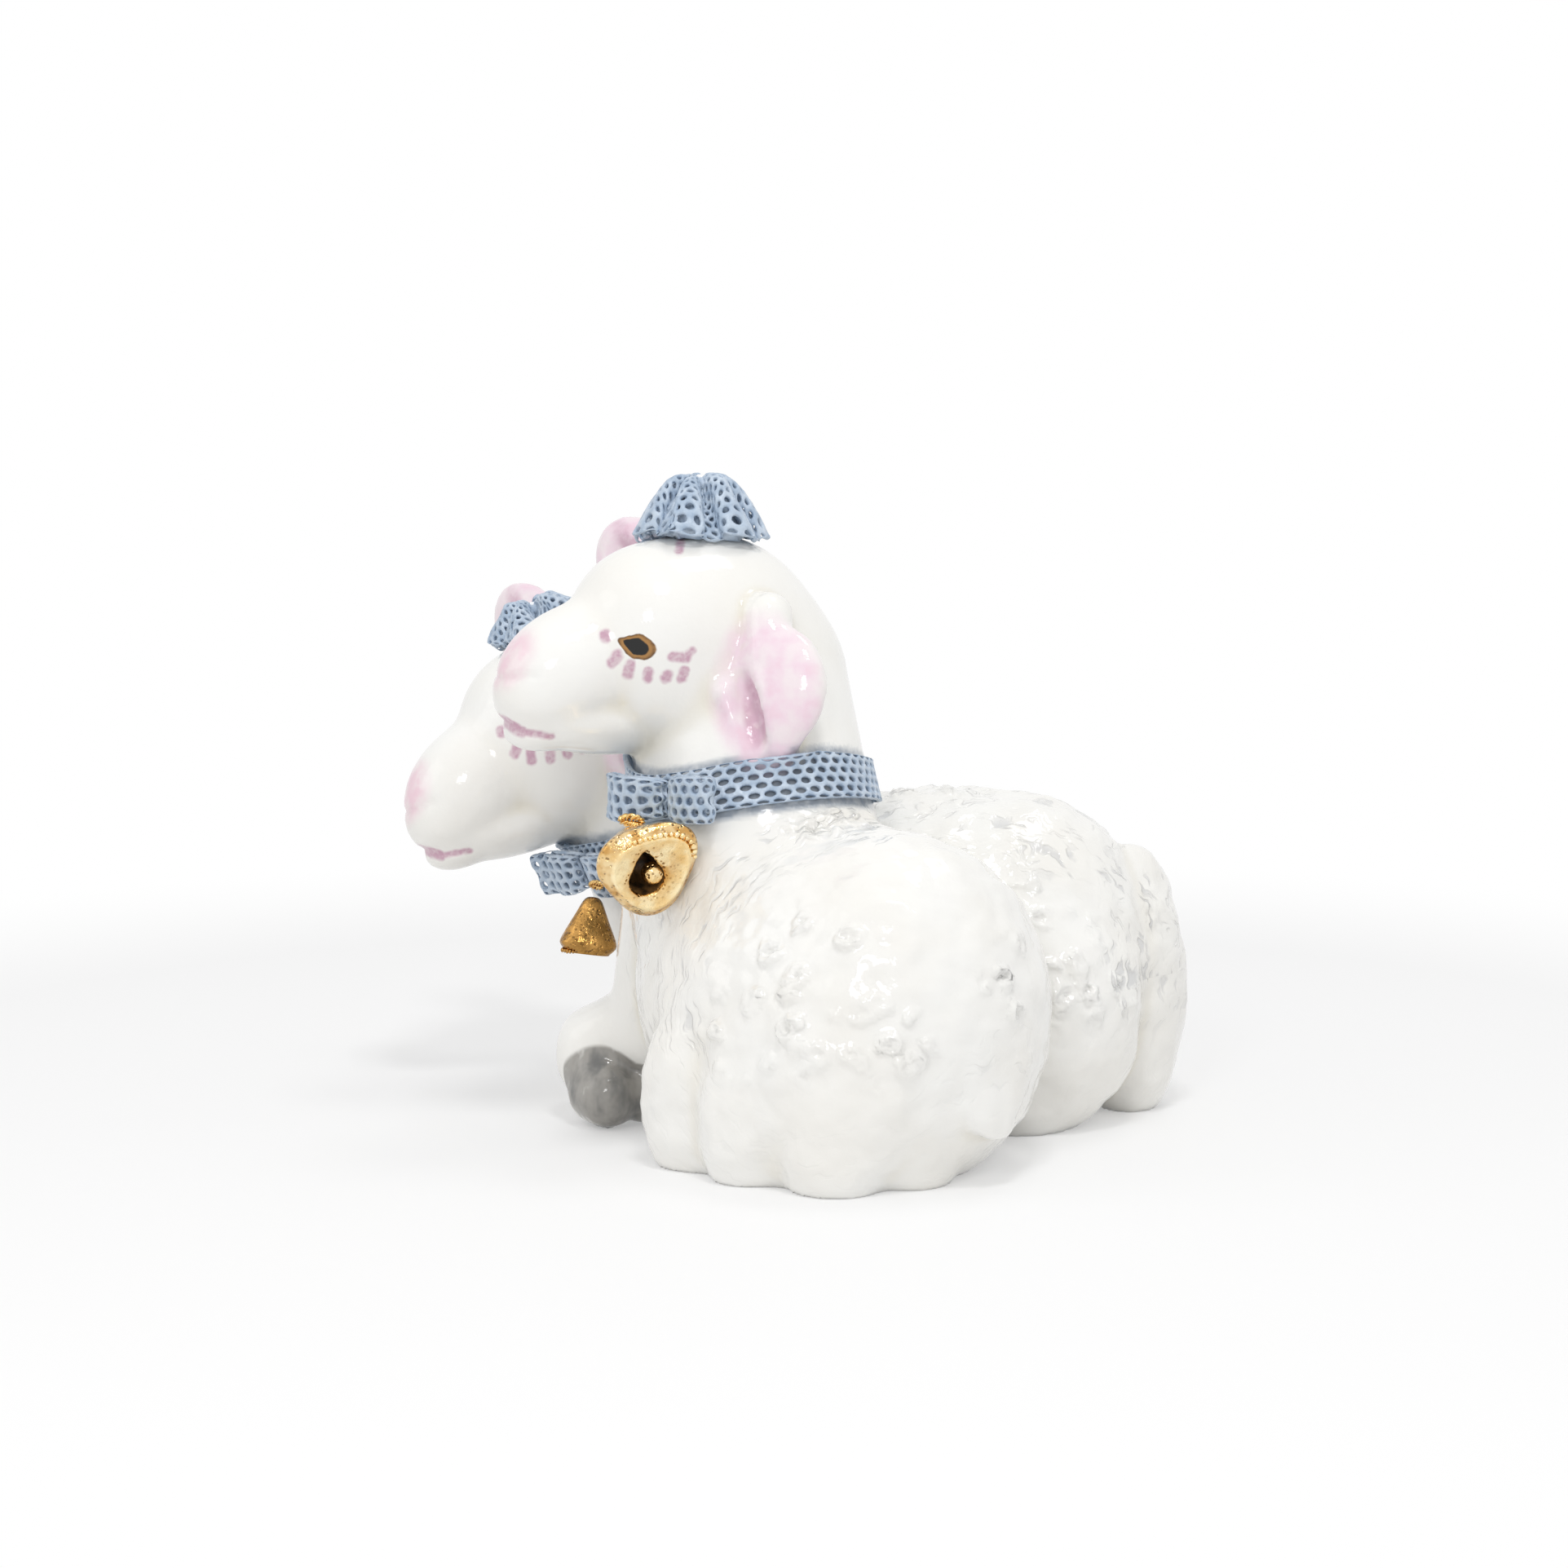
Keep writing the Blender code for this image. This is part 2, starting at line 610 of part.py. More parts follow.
FRONT_ROSETTE = Puff(forward=-0.3, left=-1.6, radius=8.6, height=7.8)
REAR_ROSETTE = Puff(forward=3.0, left=-1.2, radius=7.8, height=5.6)

# Glaze and gilding: colour, roughness and metallic
PAINTS = {
    "porcelain": ((0.86, 0.84, 0.79), 0.12, 0.0),
    "lace": ((0.42, 0.52, 0.65), 0.35, 0.0),
    "gilding": ((0.86, 0.60, 0.22), 0.18, 1.0),
}


def painted(solid, paint):
    """Gives a piece a material of its own."""
    colour, roughness, metallic = PAINTS[paint]
    material = bpy.data.materials.new(solid.name + "_" + paint)
    material.use_nodes = True
    shader = material.node_tree.nodes["Principled BSDF"]
    shader.inputs["Base Color"].default_value = (*colour, 1.0)
    shader.inputs["Roughness"].default_value = roughness
    shader.inputs["Metallic"].default_value = metallic
    solid.data.materials.clear()
    solid.data.materials.append(material)


def reduced(solid, faces):
    """Cuts a fine surface down to about a number of triangles, and lays its underside on the ground."""
    cut = solid.modifiers.new("reduce", "DECIMATE")
    cut.ratio = faces / (2 * len(solid.data.polygons))
    graph = bpy.context.evaluated_depsgraph_get()
    mesh = bpy.data.meshes.new_from_object(solid.evaluated_get(graph))
    solid.modifiers.remove(cut)
    for v in mesh.vertices:
        if abs(v.co.z) < FOOT_SNAP:
            v.co.z = 0.0
    solid.data = mesh


def main():
    for old in list(bpy.data.objects):
        bpy.data.objects.remove(old)
    heads = (
        frame_at(FRONT_HEAD[:2], FRONT_LOOK, FRONT_HEAD[2], FRONT_NOD, FRONT_LEAN),
        frame_at(REAR_HEAD[:2], REAR_LOOK, REAR_HEAD[2], REAR_NOD, REAR_LEAN),
    )
    trunks = frame_at(FRONT_SPOT, FRONT_HEADING), frame_at(REAR_SPOT, REAR_HEADING)
    front = lamb_clay(trunks[0], FRONT_LOBES + FRONT_FORELEGS, FRONT_NECK, heads[0], FRONT_EARS)
    rear = lamb_clay(trunks[1], REAR_LOBES + REAR_FORELEGS, REAR_NECK, heads[1], REAR_EARS)
    lambs = clay_object("lambs_body", [Group(front, 0.0), Group(rear, LAMBS_BLEND)], CLAY_CELL)
    reduced(lambs, BODY_FACES)
    skin = Skin(lambs)
    dress = (
        ("near_", heads[0], FRONT_COLLAR, FRONT_ROSETTE, FRONT_BELL),
        ("far_", heads[1], REAR_COLLAR, REAR_ROSETTE, REAR_BELL),
    )
    for side, head, band, puff, hung in dress:
        collar(side + "collar", skin, band)
        bow(side + "bow", skin, band)
        crown = head @ Matrix.Translation((puff.forward, puff.left, 0))
        rosette(side + "rosette", skin, crown, puff.radius, puff.height)
        bell(side + "bell", upright_frame(hung.crown, hung.mouth, BELL_AHEAD), hung.size)
        loop(side + "bell_loop", Matrix.Translation(hung.loop))
    figure = bpy.data.collections.new("lamb_figurine")
    bpy.context.scene.collection.children.link(figure)
    for solid in list(bpy.data.objects):
        bpy.context.scene.collection.objects.unlink(solid)
        figure.objects.link(solid)
        solid.data.transform(Matrix.Scale(MM, 4) @ Matrix.Translation(STAND_SHIFT))
        kind = "porcelain" if solid is lambs else "gilding" if "bell" in solid.name else "lace"
        painted(solid, kind)
        solid.data.shade_smooth()


main()
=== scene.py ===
import math

import bmesh
import bpy
from mathutils import Euler, Matrix, Vector, noise
from mathutils.bvhtree import BVHTree


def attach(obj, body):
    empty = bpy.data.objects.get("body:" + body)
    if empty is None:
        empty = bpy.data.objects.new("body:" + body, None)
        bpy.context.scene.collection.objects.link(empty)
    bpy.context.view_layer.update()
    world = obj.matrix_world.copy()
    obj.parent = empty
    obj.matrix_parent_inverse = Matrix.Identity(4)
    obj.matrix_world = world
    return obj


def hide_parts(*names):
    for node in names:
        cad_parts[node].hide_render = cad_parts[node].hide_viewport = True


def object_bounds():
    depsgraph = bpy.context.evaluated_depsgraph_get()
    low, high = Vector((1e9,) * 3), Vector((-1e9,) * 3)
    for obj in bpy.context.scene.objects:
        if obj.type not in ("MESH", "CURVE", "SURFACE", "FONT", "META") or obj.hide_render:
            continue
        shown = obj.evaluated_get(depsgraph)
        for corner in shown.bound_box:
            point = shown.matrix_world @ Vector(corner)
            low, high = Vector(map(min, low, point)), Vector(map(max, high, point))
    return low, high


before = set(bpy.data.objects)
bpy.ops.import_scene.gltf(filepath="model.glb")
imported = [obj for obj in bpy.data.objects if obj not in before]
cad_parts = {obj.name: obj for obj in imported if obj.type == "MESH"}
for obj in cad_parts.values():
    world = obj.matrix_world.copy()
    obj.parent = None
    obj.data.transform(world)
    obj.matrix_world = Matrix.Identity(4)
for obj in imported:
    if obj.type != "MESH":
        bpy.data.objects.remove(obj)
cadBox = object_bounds()
print("frame loaded")

# Sizes are in millimetres, around the place where the lambs were modelled; figureFrame puts them in the part's place
figureFrame = Matrix.Scale(0.001, 4) @ Matrix.Translation((0.5, -4.7, 0.0))


class Tree:  # fills a node tree one node at a time
    def __init__(self, tree):
        self.tree = tree

    def add(self, kind, inputs=None, output=0, **settings):
        node = self.tree.nodes.new(kind)
        for key, value in settings.items():
            setattr(node, key, value)
        for key, value in (inputs or {}).items():
            if isinstance(value, bpy.types.NodeSocket):
                self.tree.links.new(value, node.inputs[key])
            else:
                node.inputs[key].default_value = value
        return node.outputs[output]

    def math(self, operation, *values, **settings):
        return self.add("ShaderNodeMath", dict(enumerate(values)), operation=operation, **settings)

    def vector(self, operation, *values):
        output = "Value" if operation in ("LENGTH", "DOT_PRODUCT", "DISTANCE") else "Vector"
        return self.add("ShaderNodeVectorMath", dict(enumerate(values)), output, operation=operation)

    def ramp(self, value, low, high, toLow=0.0, toHigh=1.0, smooth=True):
        kind = "SMOOTHSTEP" if smooth else "LINEAR"
        inputs = {"Value": value, "From Min": low, "From Max": high, "To Min": toLow, "To Max": toHigh}
        return self.add("ShaderNodeMapRange", inputs, interpolation_type=kind)

    def axis(self, place, name):
        return self.add("ShaderNodeSeparateXYZ", {0: place}, name)

    def noise(self, place, scale, detail=2.0, rough=0.5, output="Fac"):
        return self.add("ShaderNodeTexNoise", {"Vector": place, "Scale": scale, "Detail": detail, "Roughness": rough}, output)

    def inFrame(self, place, spot, turn=(0, 0, 0)):  # the place seen from a frame: moved, then turned back
        spun = spot @ Euler([math.radians(a) for a in turn]).to_matrix().to_4x4()
        moved = self.vector("SUBTRACT", place, tuple(spun.to_translation()))
        inputs = {"Vector": moved, "Rotation": tuple(spun.to_euler("XYZ"))}
        return self.add("ShaderNodeVectorRotate", inputs, rotation_type="EULER_XYZ", invert=True)


def geometryTree(name, inputs=()):
    tree = bpy.data.node_groups.new(name, "GeometryNodeTree")
    for label, kind in inputs:
        tree.interface.new_socket(label, in_out="INPUT", socket_type=kind)
    tree.interface.new_socket("Geometry", in_out="OUTPUT", socket_type="NodeSocketGeometry")
    return tree


def applied(source, tree, values=None):  # the plain mesh that a tree makes of an object
    modifier = source.modifiers.new(tree.name, "NODES")
    modifier.node_group = tree
    for socket in tree.interface.items_tree:
        if values and socket.name in values:
            modifier[socket.identifier] = values[socket.name]
    graph = bpy.context.evaluated_depsgraph_get()
    mesh = bpy.data.meshes.new_from_object(source.evaluated_get(graph))
    source.modifiers.remove(modifier)
    return mesh


def newObject(name, mesh):
    made = bpy.data.objects.new(name, mesh)
    bpy.context.scene.collection.objects.link(made)
    return made


# The two lambs, as lumps of clay pressed softly into one another.
# A ball is centre, radii, turn and blend; a limb is two ends, two radii and blend; a hollow is cut out as a ball.
def ball(centre, radii, turn=(0, 0, 0), blend=3.0):
    return {"kind": "ball", "centre": centre, "radii": radii, "turn": turn, "blend": blend}


def hollow(centre, radii, turn=(0, 0, 0), blend=1.0):
    return {"kind": "hollow", "centre": centre, "radii": radii, "turn": turn, "blend": blend}


def limb(start, end, startRadius, endRadius, blend=3.0):
    return {"kind": "limb", "start": start, "end": end, "radii": (startRadius, endRadius), "blend": blend}


trunk = [
    ball((0, 0, 20), (29.5, 22.5, 25), blend=6),  # barrel
    ball((-13, 0, 21), (17.5, 20, 23), blend=6),  # rump
    ball((-25.4, 0, 19), (3.6, 6.2, 13.5), (0, 18, 0), 2.2),  # tail
]

head = [
    ball((0, 0, -3.2), (16.2, 13.5, 15), blend=4),  # skull
    ball((8, 0, -1.5), (11.5, 12, 12.2), blend=4),  # forehead
    ball((5, 0, -8.5), (13, 11.5, 9.5), blend=4),  # cheeks
    ball((19.3, 0, -5.7), (12, 8, 8.7), (0, 22, 0), 3.5),  # snout
    ball((25.4, 0, -9.3), (5.5, 5.6, 4.6), blend=2),  # upper lip
    ball((15, 0, -12.6), (13.6, 7.2, 5.0), (0, -3, 0), 1.2),  # jaw
    ball((24.6, 0, -13.7), (5.3, 4.5, 2.9), blend=1.0),  # chin
]

frontLamb = {
    "spot": (5.0, -19.0), "heading": 135.0,
    "skull": (-13.0, 1.0, 70.0), "look": 208.0, "nod": 0.0, "lean": 0.0,
    "neck": ((15, 0, 36), 17.5, 14.5),
    "ears": [
        ((-2.0, 14.4, 0.4), (0.08, 0.40, -1.0), (0.84, 0.54, 0.1)),
        ((-2.5, -11.5, -0.5), (0.24, -0.74, 0.56), (0.9, 0.4, 0.2)),
    ],
    "fleece": [
        ball((15, -1, 25), (15.5, 16, 21), blend=7),  # shoulders
        ball((23, -3, 24), (8, 9, 16), blend=5),  # breast
        ball((-10, 12, 15), (16, 12, 19), (0, 0, 6)),  # left haunch
        ball((7.4, 17.3, 9), (8.5, 7, 14.5), (0, 0, 30), 3.4),  # lobes around the foot
        ball((-2.8, 18.5, 8), (6.5, 7, 14), blend=4.5),
        ball((-14.8, 15.4, 9), (7.5, 7.5, 15.5), (0, 0, -40), 1.6),
        ball((-19, 5.5, 8), (6.5, 7.5, 13), blend=1.8),
        ball((-8, -11, 15), (15, 11, 18), (0, 0, -6)),  # right haunch
    ],
    "legs": [
        limb((28, 3.5, 32), (31.5, 4.5, 13), 6.8, 5.8, 1.8),
        limb((39.5, 7, 10.5), (36, 6, 13), 5.6, 5.0),
        limb((39.5, 7.9, 8), (35.0, 9.8, 4.9), 5.0, 4.4, 2),
        limb((36.0, 9.7, 4.6), (33.8, 10.4, 4.4), 4.6, 4.4, 0.5),
        limb((24, -8, 28), (32, -6, 12), 7.5, 5.5),
        limb((40, -5, 10), (38, -5, 9), 5.5, 5.2),
        limb((38, -4, 6), (33.4, 3.2, 4.8), 4.8, 4.5, 2),
        limb((33.6, 3.6, 4.7), (32.4, 5.0, 4.6), 4.7, 4.5, 0.5),
    ],
}

rearLamb = {
    "spot": (19.2, 13.0), "heading": 170.0,
    "skull": (-30.6, 35.5, 54.2), "look": 205.0, "nod": 15.0, "lean": 8.0,
    "neck": ((35, -9, 28), 15.0, 13.8),
    "ears": [
        ((-3.2, 13.8, 1.5), (0.08, 0.40, -1.0), (0.86, 0.50, 0.1)),
        ((-2.5, -11.2, 2.6), (0.1, -0.62, 0.86), (0.9, 0.4, 0.2)),
    ],
    "fleece": [
        ball((17, -3, 21), (17, 15, 19), blend=7),  # shoulders
        ball((33, -9, 20), (12, 12, 15), blend=6),  # breast
        ball((-15, 9.5, 16.5), (15, 13, 18.5), blend=1.8),  # left haunch
        ball((-13, 13, 5), (9, 8.5, 8)),  # left foot under it
        ball((6, 13, 10), (9, 7, 13)),  # left flank
        ball((-27, -4, 17), (8, 9.5, 20), blend=1.8),  # beside the tail
        ball((-16, -14, 16), (16, 12, 19), (0, 0, -8)),  # right haunch
        ball((8, -15, 10), (10, 7, 14)),  # right flank
    ],
    "legs": [
        limb((30, -1, 24), (36, -1, 12), 7.0, 5.5),
        limb((41, -1, 9.5), (38, -1, 11), 5.4, 5.0),
        limb((41, -1, 7), (35, 1, 5), 5.0, 4.6, 2),
        limb((35, 1, 4.7), (33, 1.6, 4.6), 4.8, 4.6, 0.5),
        limb((30, -13, 24), (36, -13, 12), 7.0, 5.5),
        limb((41, -13, 9.5), (39, -13, 10), 5.4, 5.2),
        limb((41, -13, 6), (35, -15, 4.8), 4.9, 4.5, 2),
        limb((35, -15, 4.7), (33, -15.6, 4.6), 4.7, 4.5, 0.5),
    ],
}

clay = {
    "cell": 0.67,  # voxel, and about the length of a mesh edge
    "margin": 4.0,
    "earBlend": 1.0,
    "lambBlend": 1.2,
    "footRound": 0.8,
    "earLength": 19.0, "earWidth": 15.5, "earThick": 6.5,
}


face = {  # painted details in the head's own frame: x to the nose, y to the side, z up
    "eye": {"at": (14.9, 9.6, -2.0), "long": 2.65, "tall": 1.7, "tilt": -16.0},
    "pupil": {"at": (15.0, 9.6, -1.95), "long": 1.8, "tall": 1.14, "tilt": -22.0},
    "lashes": [
        ((18.35, 7.1, -0.4), (18.3, 7.1, -0.8), 0.72),
        ((17.1, 8.3, -3.1), (17.75, 8.0, -4.2), 0.7),
        ((15.6, 9.0, -4.3), (15.8, 8.7, -5.8), 0.66),
        ((13.4, 10.2, -5.4), (13.5, 9.95, -6.3), 0.68),
        ((11.2, 11.3, -5.8), (11.3, 11.1, -6.2), 0.72),
        ((9.1, 12.1, -5.3), (9.3, 11.9, -6.3), 0.66),
    ],
    "sweep": [((10.7, 11.8, -3.3), (8.9, 12.2, -3.6), 0.66), ((8.9, 12.2, -3.5), (8.0, 12.5, -2.6), 0.48)],
    "mouth": [((30.2, 0.0, -12.0), (27.8, 1.2, -13.4), 0.78), ((27.8, 1.2, -13.4), (24.9, 4.2, -14.0), 0.45)],
    "nose": {"at": (30.0, 0.0, -3.4), "radii": (5.4, 4.8, 4.8)},
    "creases": [((31.2, 0.0, -6.5), (27.4, 4.6, -5.6), 0.45), ((31.0, 0.0, -11.8), (24.6, 4.3, -14.1), 0.4)],
    "crown": ((5.8, 4.3, 10.2), (5.6, 4.2, 11.0), 0.55),
    "rearShift": (-2.3, 1.5),  # how the rear lamb's eye is set: back along the head, and up
}
across = (0.86, 0.5)  # the side of the face is painted as seen from here, between the nose and the side


def sideOn(nodes, local):  # the head's frame flattened to its side view, both sides alike
    x, y, z = (nodes.axis(local, name) for name in "XYZ")
    forward = nodes.math("MULTIPLY", x, across[0])
    away = nodes.math("MULTIPLY", nodes.math("ABSOLUTE", y), across[1])
    return nodes.add("ShaderNodeCombineXYZ", {"X": nodes.math("SUBTRACT", forward, away), "Z": z})


def flatSpot(spot):
    return (across[0] * spot[0] - across[1] * abs(spot[1]), 0.0, spot[2])


def dab(nodes, flat, start, end, width, soft=0.3):  # one stroke of a brush between two places of the side view
    start, end = Vector(flatSpot(start)), Vector(flatSpot(end))
    axis = end - start
    away = nodes.vector("SUBTRACT", flat, tuple(start))
    share = nodes.add("ShaderNodeClamp", {0: nodes.vector("DOT_PRODUCT", away, tuple(axis / axis.length_squared))})
    nearest = nodes.add("ShaderNodeVectorMath", {0: tuple(axis), "Scale": share}, operation="SCALE")
    gap = nodes.vector("LENGTH", nodes.vector("SUBTRACT", away, nearest))
    return nodes.ramp(gap, width - soft, width + soft, 1.0, 0.0)


def ovalShare(nodes, flat, facts):  # 1 on the edge of an oval that narrows towards the nose
    turned = nodes.inFrame(flat, Matrix.Translation(flatSpot(facts["at"])), (0, facts["tilt"], 0))
    along = nodes.math("DIVIDE", nodes.axis(turned, "X"), facts["long"])
    narrow = nodes.ramp(along, 0.0, 1.1, 1.0, 0.45, smooth=False)
    high = nodes.math("DIVIDE", nodes.math("DIVIDE", nodes.axis(turned, "Z"), facts["tall"]), narrow)
    return nodes.vector("LENGTH", nodes.add("ShaderNodeCombineXYZ", {"X": along, "Y": high}))


def frameAt(spot, heading, height=0.0, nod=0.0, lean=0.0):
    turn = Matrix.Rotation(math.radians(heading), 4, "Z")
    drop = Matrix.Rotation(math.radians(nod), 4, "Y")
    roll = Matrix.Rotation(math.radians(lean), 4, "X")
    return Matrix.Translation((spot[0], spot[1], height)) @ turn @ drop @ roll


def trunkFrame(lamb):
    return frameAt(lamb["spot"], lamb["heading"])


def skullFrame(lamb):
    return frameAt(lamb["skull"][:2], lamb["look"], lamb["skull"][2], lamb["nod"], lamb["lean"])


def earFrame(root, along, out):
    x = Vector(along).normalized()
    y = Vector(out).cross(x).normalized()
    return Matrix.Translation(root) @ Matrix((x, y, x.cross(y))).transposed().to_4x4()


def earLumps(rolled):  # a leaf on a stem; a hanging ear's front edge is rolled into a lip, with a hollow behind it
    half = clay["earLength"] / 2
    wide, thick = clay["earWidth"] / 2, clay["earThick"]
    if not rolled:
        return [
            ball((half, 0, 0), (half * 0.98, wide * 0.86, thick / 2), blend=1.5),
            limb((-1.5, 0, -1), (4, 0, 0), 3.4, 3.2, 1.5),
            hollow((half * 1.1, 0, thick * 0.6), (half * 0.62, wide * 0.45, thick * 0.42), blend=0.8),
        ]
    return [
        ball((half * 0.92, 0.5, 0), (half * 0.9, wide, thick / 2), blend=1.5),
        ball((half * 1.25, -0.8, 0), (half * 0.78, wide * 0.66, thick / 2), blend=2),  # towards the tip
        ball((half * 1.8, -1.0, 0.2), (3.4, 2.4, 1.7), blend=1.6),
        limb((-1.5, 0, -1), (4, 0, 0), 3.4, 3.2, 1.5),
        limb((half * 0.62, -wide * 0.82, 1.4), (half * 0.9, -wide * 0.78, 2.2), 1.7, 1.6, 1.2),  # the hook of the lip
        limb((half * 0.9, -wide * 0.78, 2.2), (half * 1.72, -wide * 0.5, 1.4), 1.5, 1.1, 0.8),
        hollow((half * 1.28, -wide * 0.33, thick * 0.56), (half * 0.74, wide * 0.28, thick * 0.5), (0, 0, 7), 0.4),
    ]


def lambLumps(lamb):
    trunkAt, skullAt = trunkFrame(lamb), skullFrame(lamb)
    lumps = [(trunkAt, shape) for shape in trunk + lamb["fleece"] + lamb["legs"]]
    low, lowRadius, highRadius = lamb["neck"]
    nape = trunkAt.inverted() @ (skullAt @ Vector((-6, 0, -9)))
    lumps.append((trunkAt, limb(low, tuple(nape), lowRadius, highRadius, 5)))
    lumps += [(skullAt, shape) for shape in head]
    for ear, rolled in zip(lamb["ears"], (True, False)):
        earAt = skullAt @ earFrame(*ear)
        lumps.append((None, {"kind": "heap", "lumps": [(earAt, s) for s in earLumps(rolled)], "blend": clay["earBlend"]}))
    return lumps


def lumpDistance(nodes, place, spot, shape):
    if shape["kind"] == "heap":
        return clayField(nodes, place, shape["lumps"])
    if shape["kind"] == "limb":
        start, end = spot @ Vector(shape["start"]), spot @ Vector(shape["end"])
        axis = end - start
        away = nodes.vector("SUBTRACT", place, tuple(start))
        share = nodes.add("ShaderNodeClamp", {0: nodes.vector("DOT_PRODUCT", away, tuple(axis / axis.length_squared))})
        nearest = nodes.add("ShaderNodeVectorMath", {0: tuple(axis), "Scale": share}, operation="SCALE")
        gap = nodes.vector("LENGTH", nodes.vector("SUBTRACT", away, nearest))
        first, last = shape["radii"]
        return nodes.math("SUBTRACT", gap, nodes.math("MULTIPLY_ADD", share, last - first, first))
    local = nodes.inFrame(place, spot @ Matrix.Translation(shape["centre"]), shape["turn"])
    share = nodes.vector("LENGTH", nodes.vector("DIVIDE", local, tuple(shape["radii"])))
    steep = nodes.vector("LENGTH", nodes.vector("DIVIDE", local, tuple(r * r for r in shape["radii"])))
    risen = nodes.math("MULTIPLY", share, nodes.math("SUBTRACT", share, 1.0))
    return nodes.math("DIVIDE", risen, nodes.math("MAXIMUM", steep, 1e-4))


def clayField(nodes, place, lumps):  # below zero inside the clay, in about millimetres
    field = None
    for spot, shape in lumps:
        distance = lumpDistance(nodes, place, spot, shape)
        if field is None:
            field = distance
        elif shape["kind"] == "hollow":
            field = nodes.math("SMOOTH_MAX", field, nodes.math("MULTIPLY", distance, -1.0), shape["blend"])
        else:
            field = nodes.math("SMOOTH_MIN", field, distance, shape["blend"])
    return field


relief = {
    "dimple": 0.95, "dimpleScale": 0.18,  # how deep the soft unevenness of the fleece is, and how close
    "curl": 0.95, "curlCell": 4.6, "curlRound": 1.35, "curlWide": 0.95,  # rings of wool: height, spacing, radius, width
    "crease": 0.32,  # the mouth and the nostrils
    "fleeceFade": 3.0,  # how far off the fleece its relief dies out
    "curlPlaces": (  # where the curls are: a middle in the trunk's frame, and a radius
        ((-13, 18, 25), 15.0), ((-4, 20, 20), 10.0), ((-24, 15, 20), 8.0), ((-26, -2, 26), 9.0), ((-8, -17, 24), 15.0),
        ((2, 0, 46), 11.0),
    ),
}


def curlRings(nodes, place):  # rings of wool, each broken and pushed about by noise
    warp = nodes.vector("SUBTRACT", nodes.noise(place, 0.28, 2.0, output="Color"), (0.5, 0.5, 0.5))
    bent = nodes.vector("MULTIPLY_ADD", warp, (3.6, 3.6, 3.6), place)
    cell = nodes.add("ShaderNodeTexVoronoi", {"Vector": bent, "Scale": 1 / relief["curlCell"], "Randomness": 0.9}, "Distance")
    away = nodes.math("MULTIPLY", cell, relief["curlCell"])
    ring = nodes.math("ABSOLUTE", nodes.math("SUBTRACT", away, relief["curlRound"]))
    ring = nodes.ramp(ring, 0.0, relief["curlWide"], 1.0, 0.0)
    pit = nodes.ramp(away, 0.0, relief["curlRound"], 0.5, 0.0)
    broken = nodes.ramp(nodes.noise(place, 0.35, 1.0), 0.3, 0.5)
    return nodes.math("SUBTRACT", nodes.math("MULTIPLY", ring, broken), pit)


def curlPatch(nodes, place):  # how much of the curls shows at a place
    patches = []
    for lamb in (frontLamb, rearLamb):
        local = nodes.inFrame(place, trunkFrame(lamb))
        for middle, radius in relief["curlPlaces"]:
            patches.append(nodes.ramp(nodes.vector("DISTANCE", local, middle), radius * 0.5, radius, 1.0, 0.0))
    total = patches[0]
    for patch in patches[1:]:
        total = nodes.math("MAXIMUM", total, patch)
    return nodes.math("MULTIPLY", total, nodes.ramp(nodes.noise(place, 0.09, 1.0), 0.36, 0.52, 0.5, 1.0))


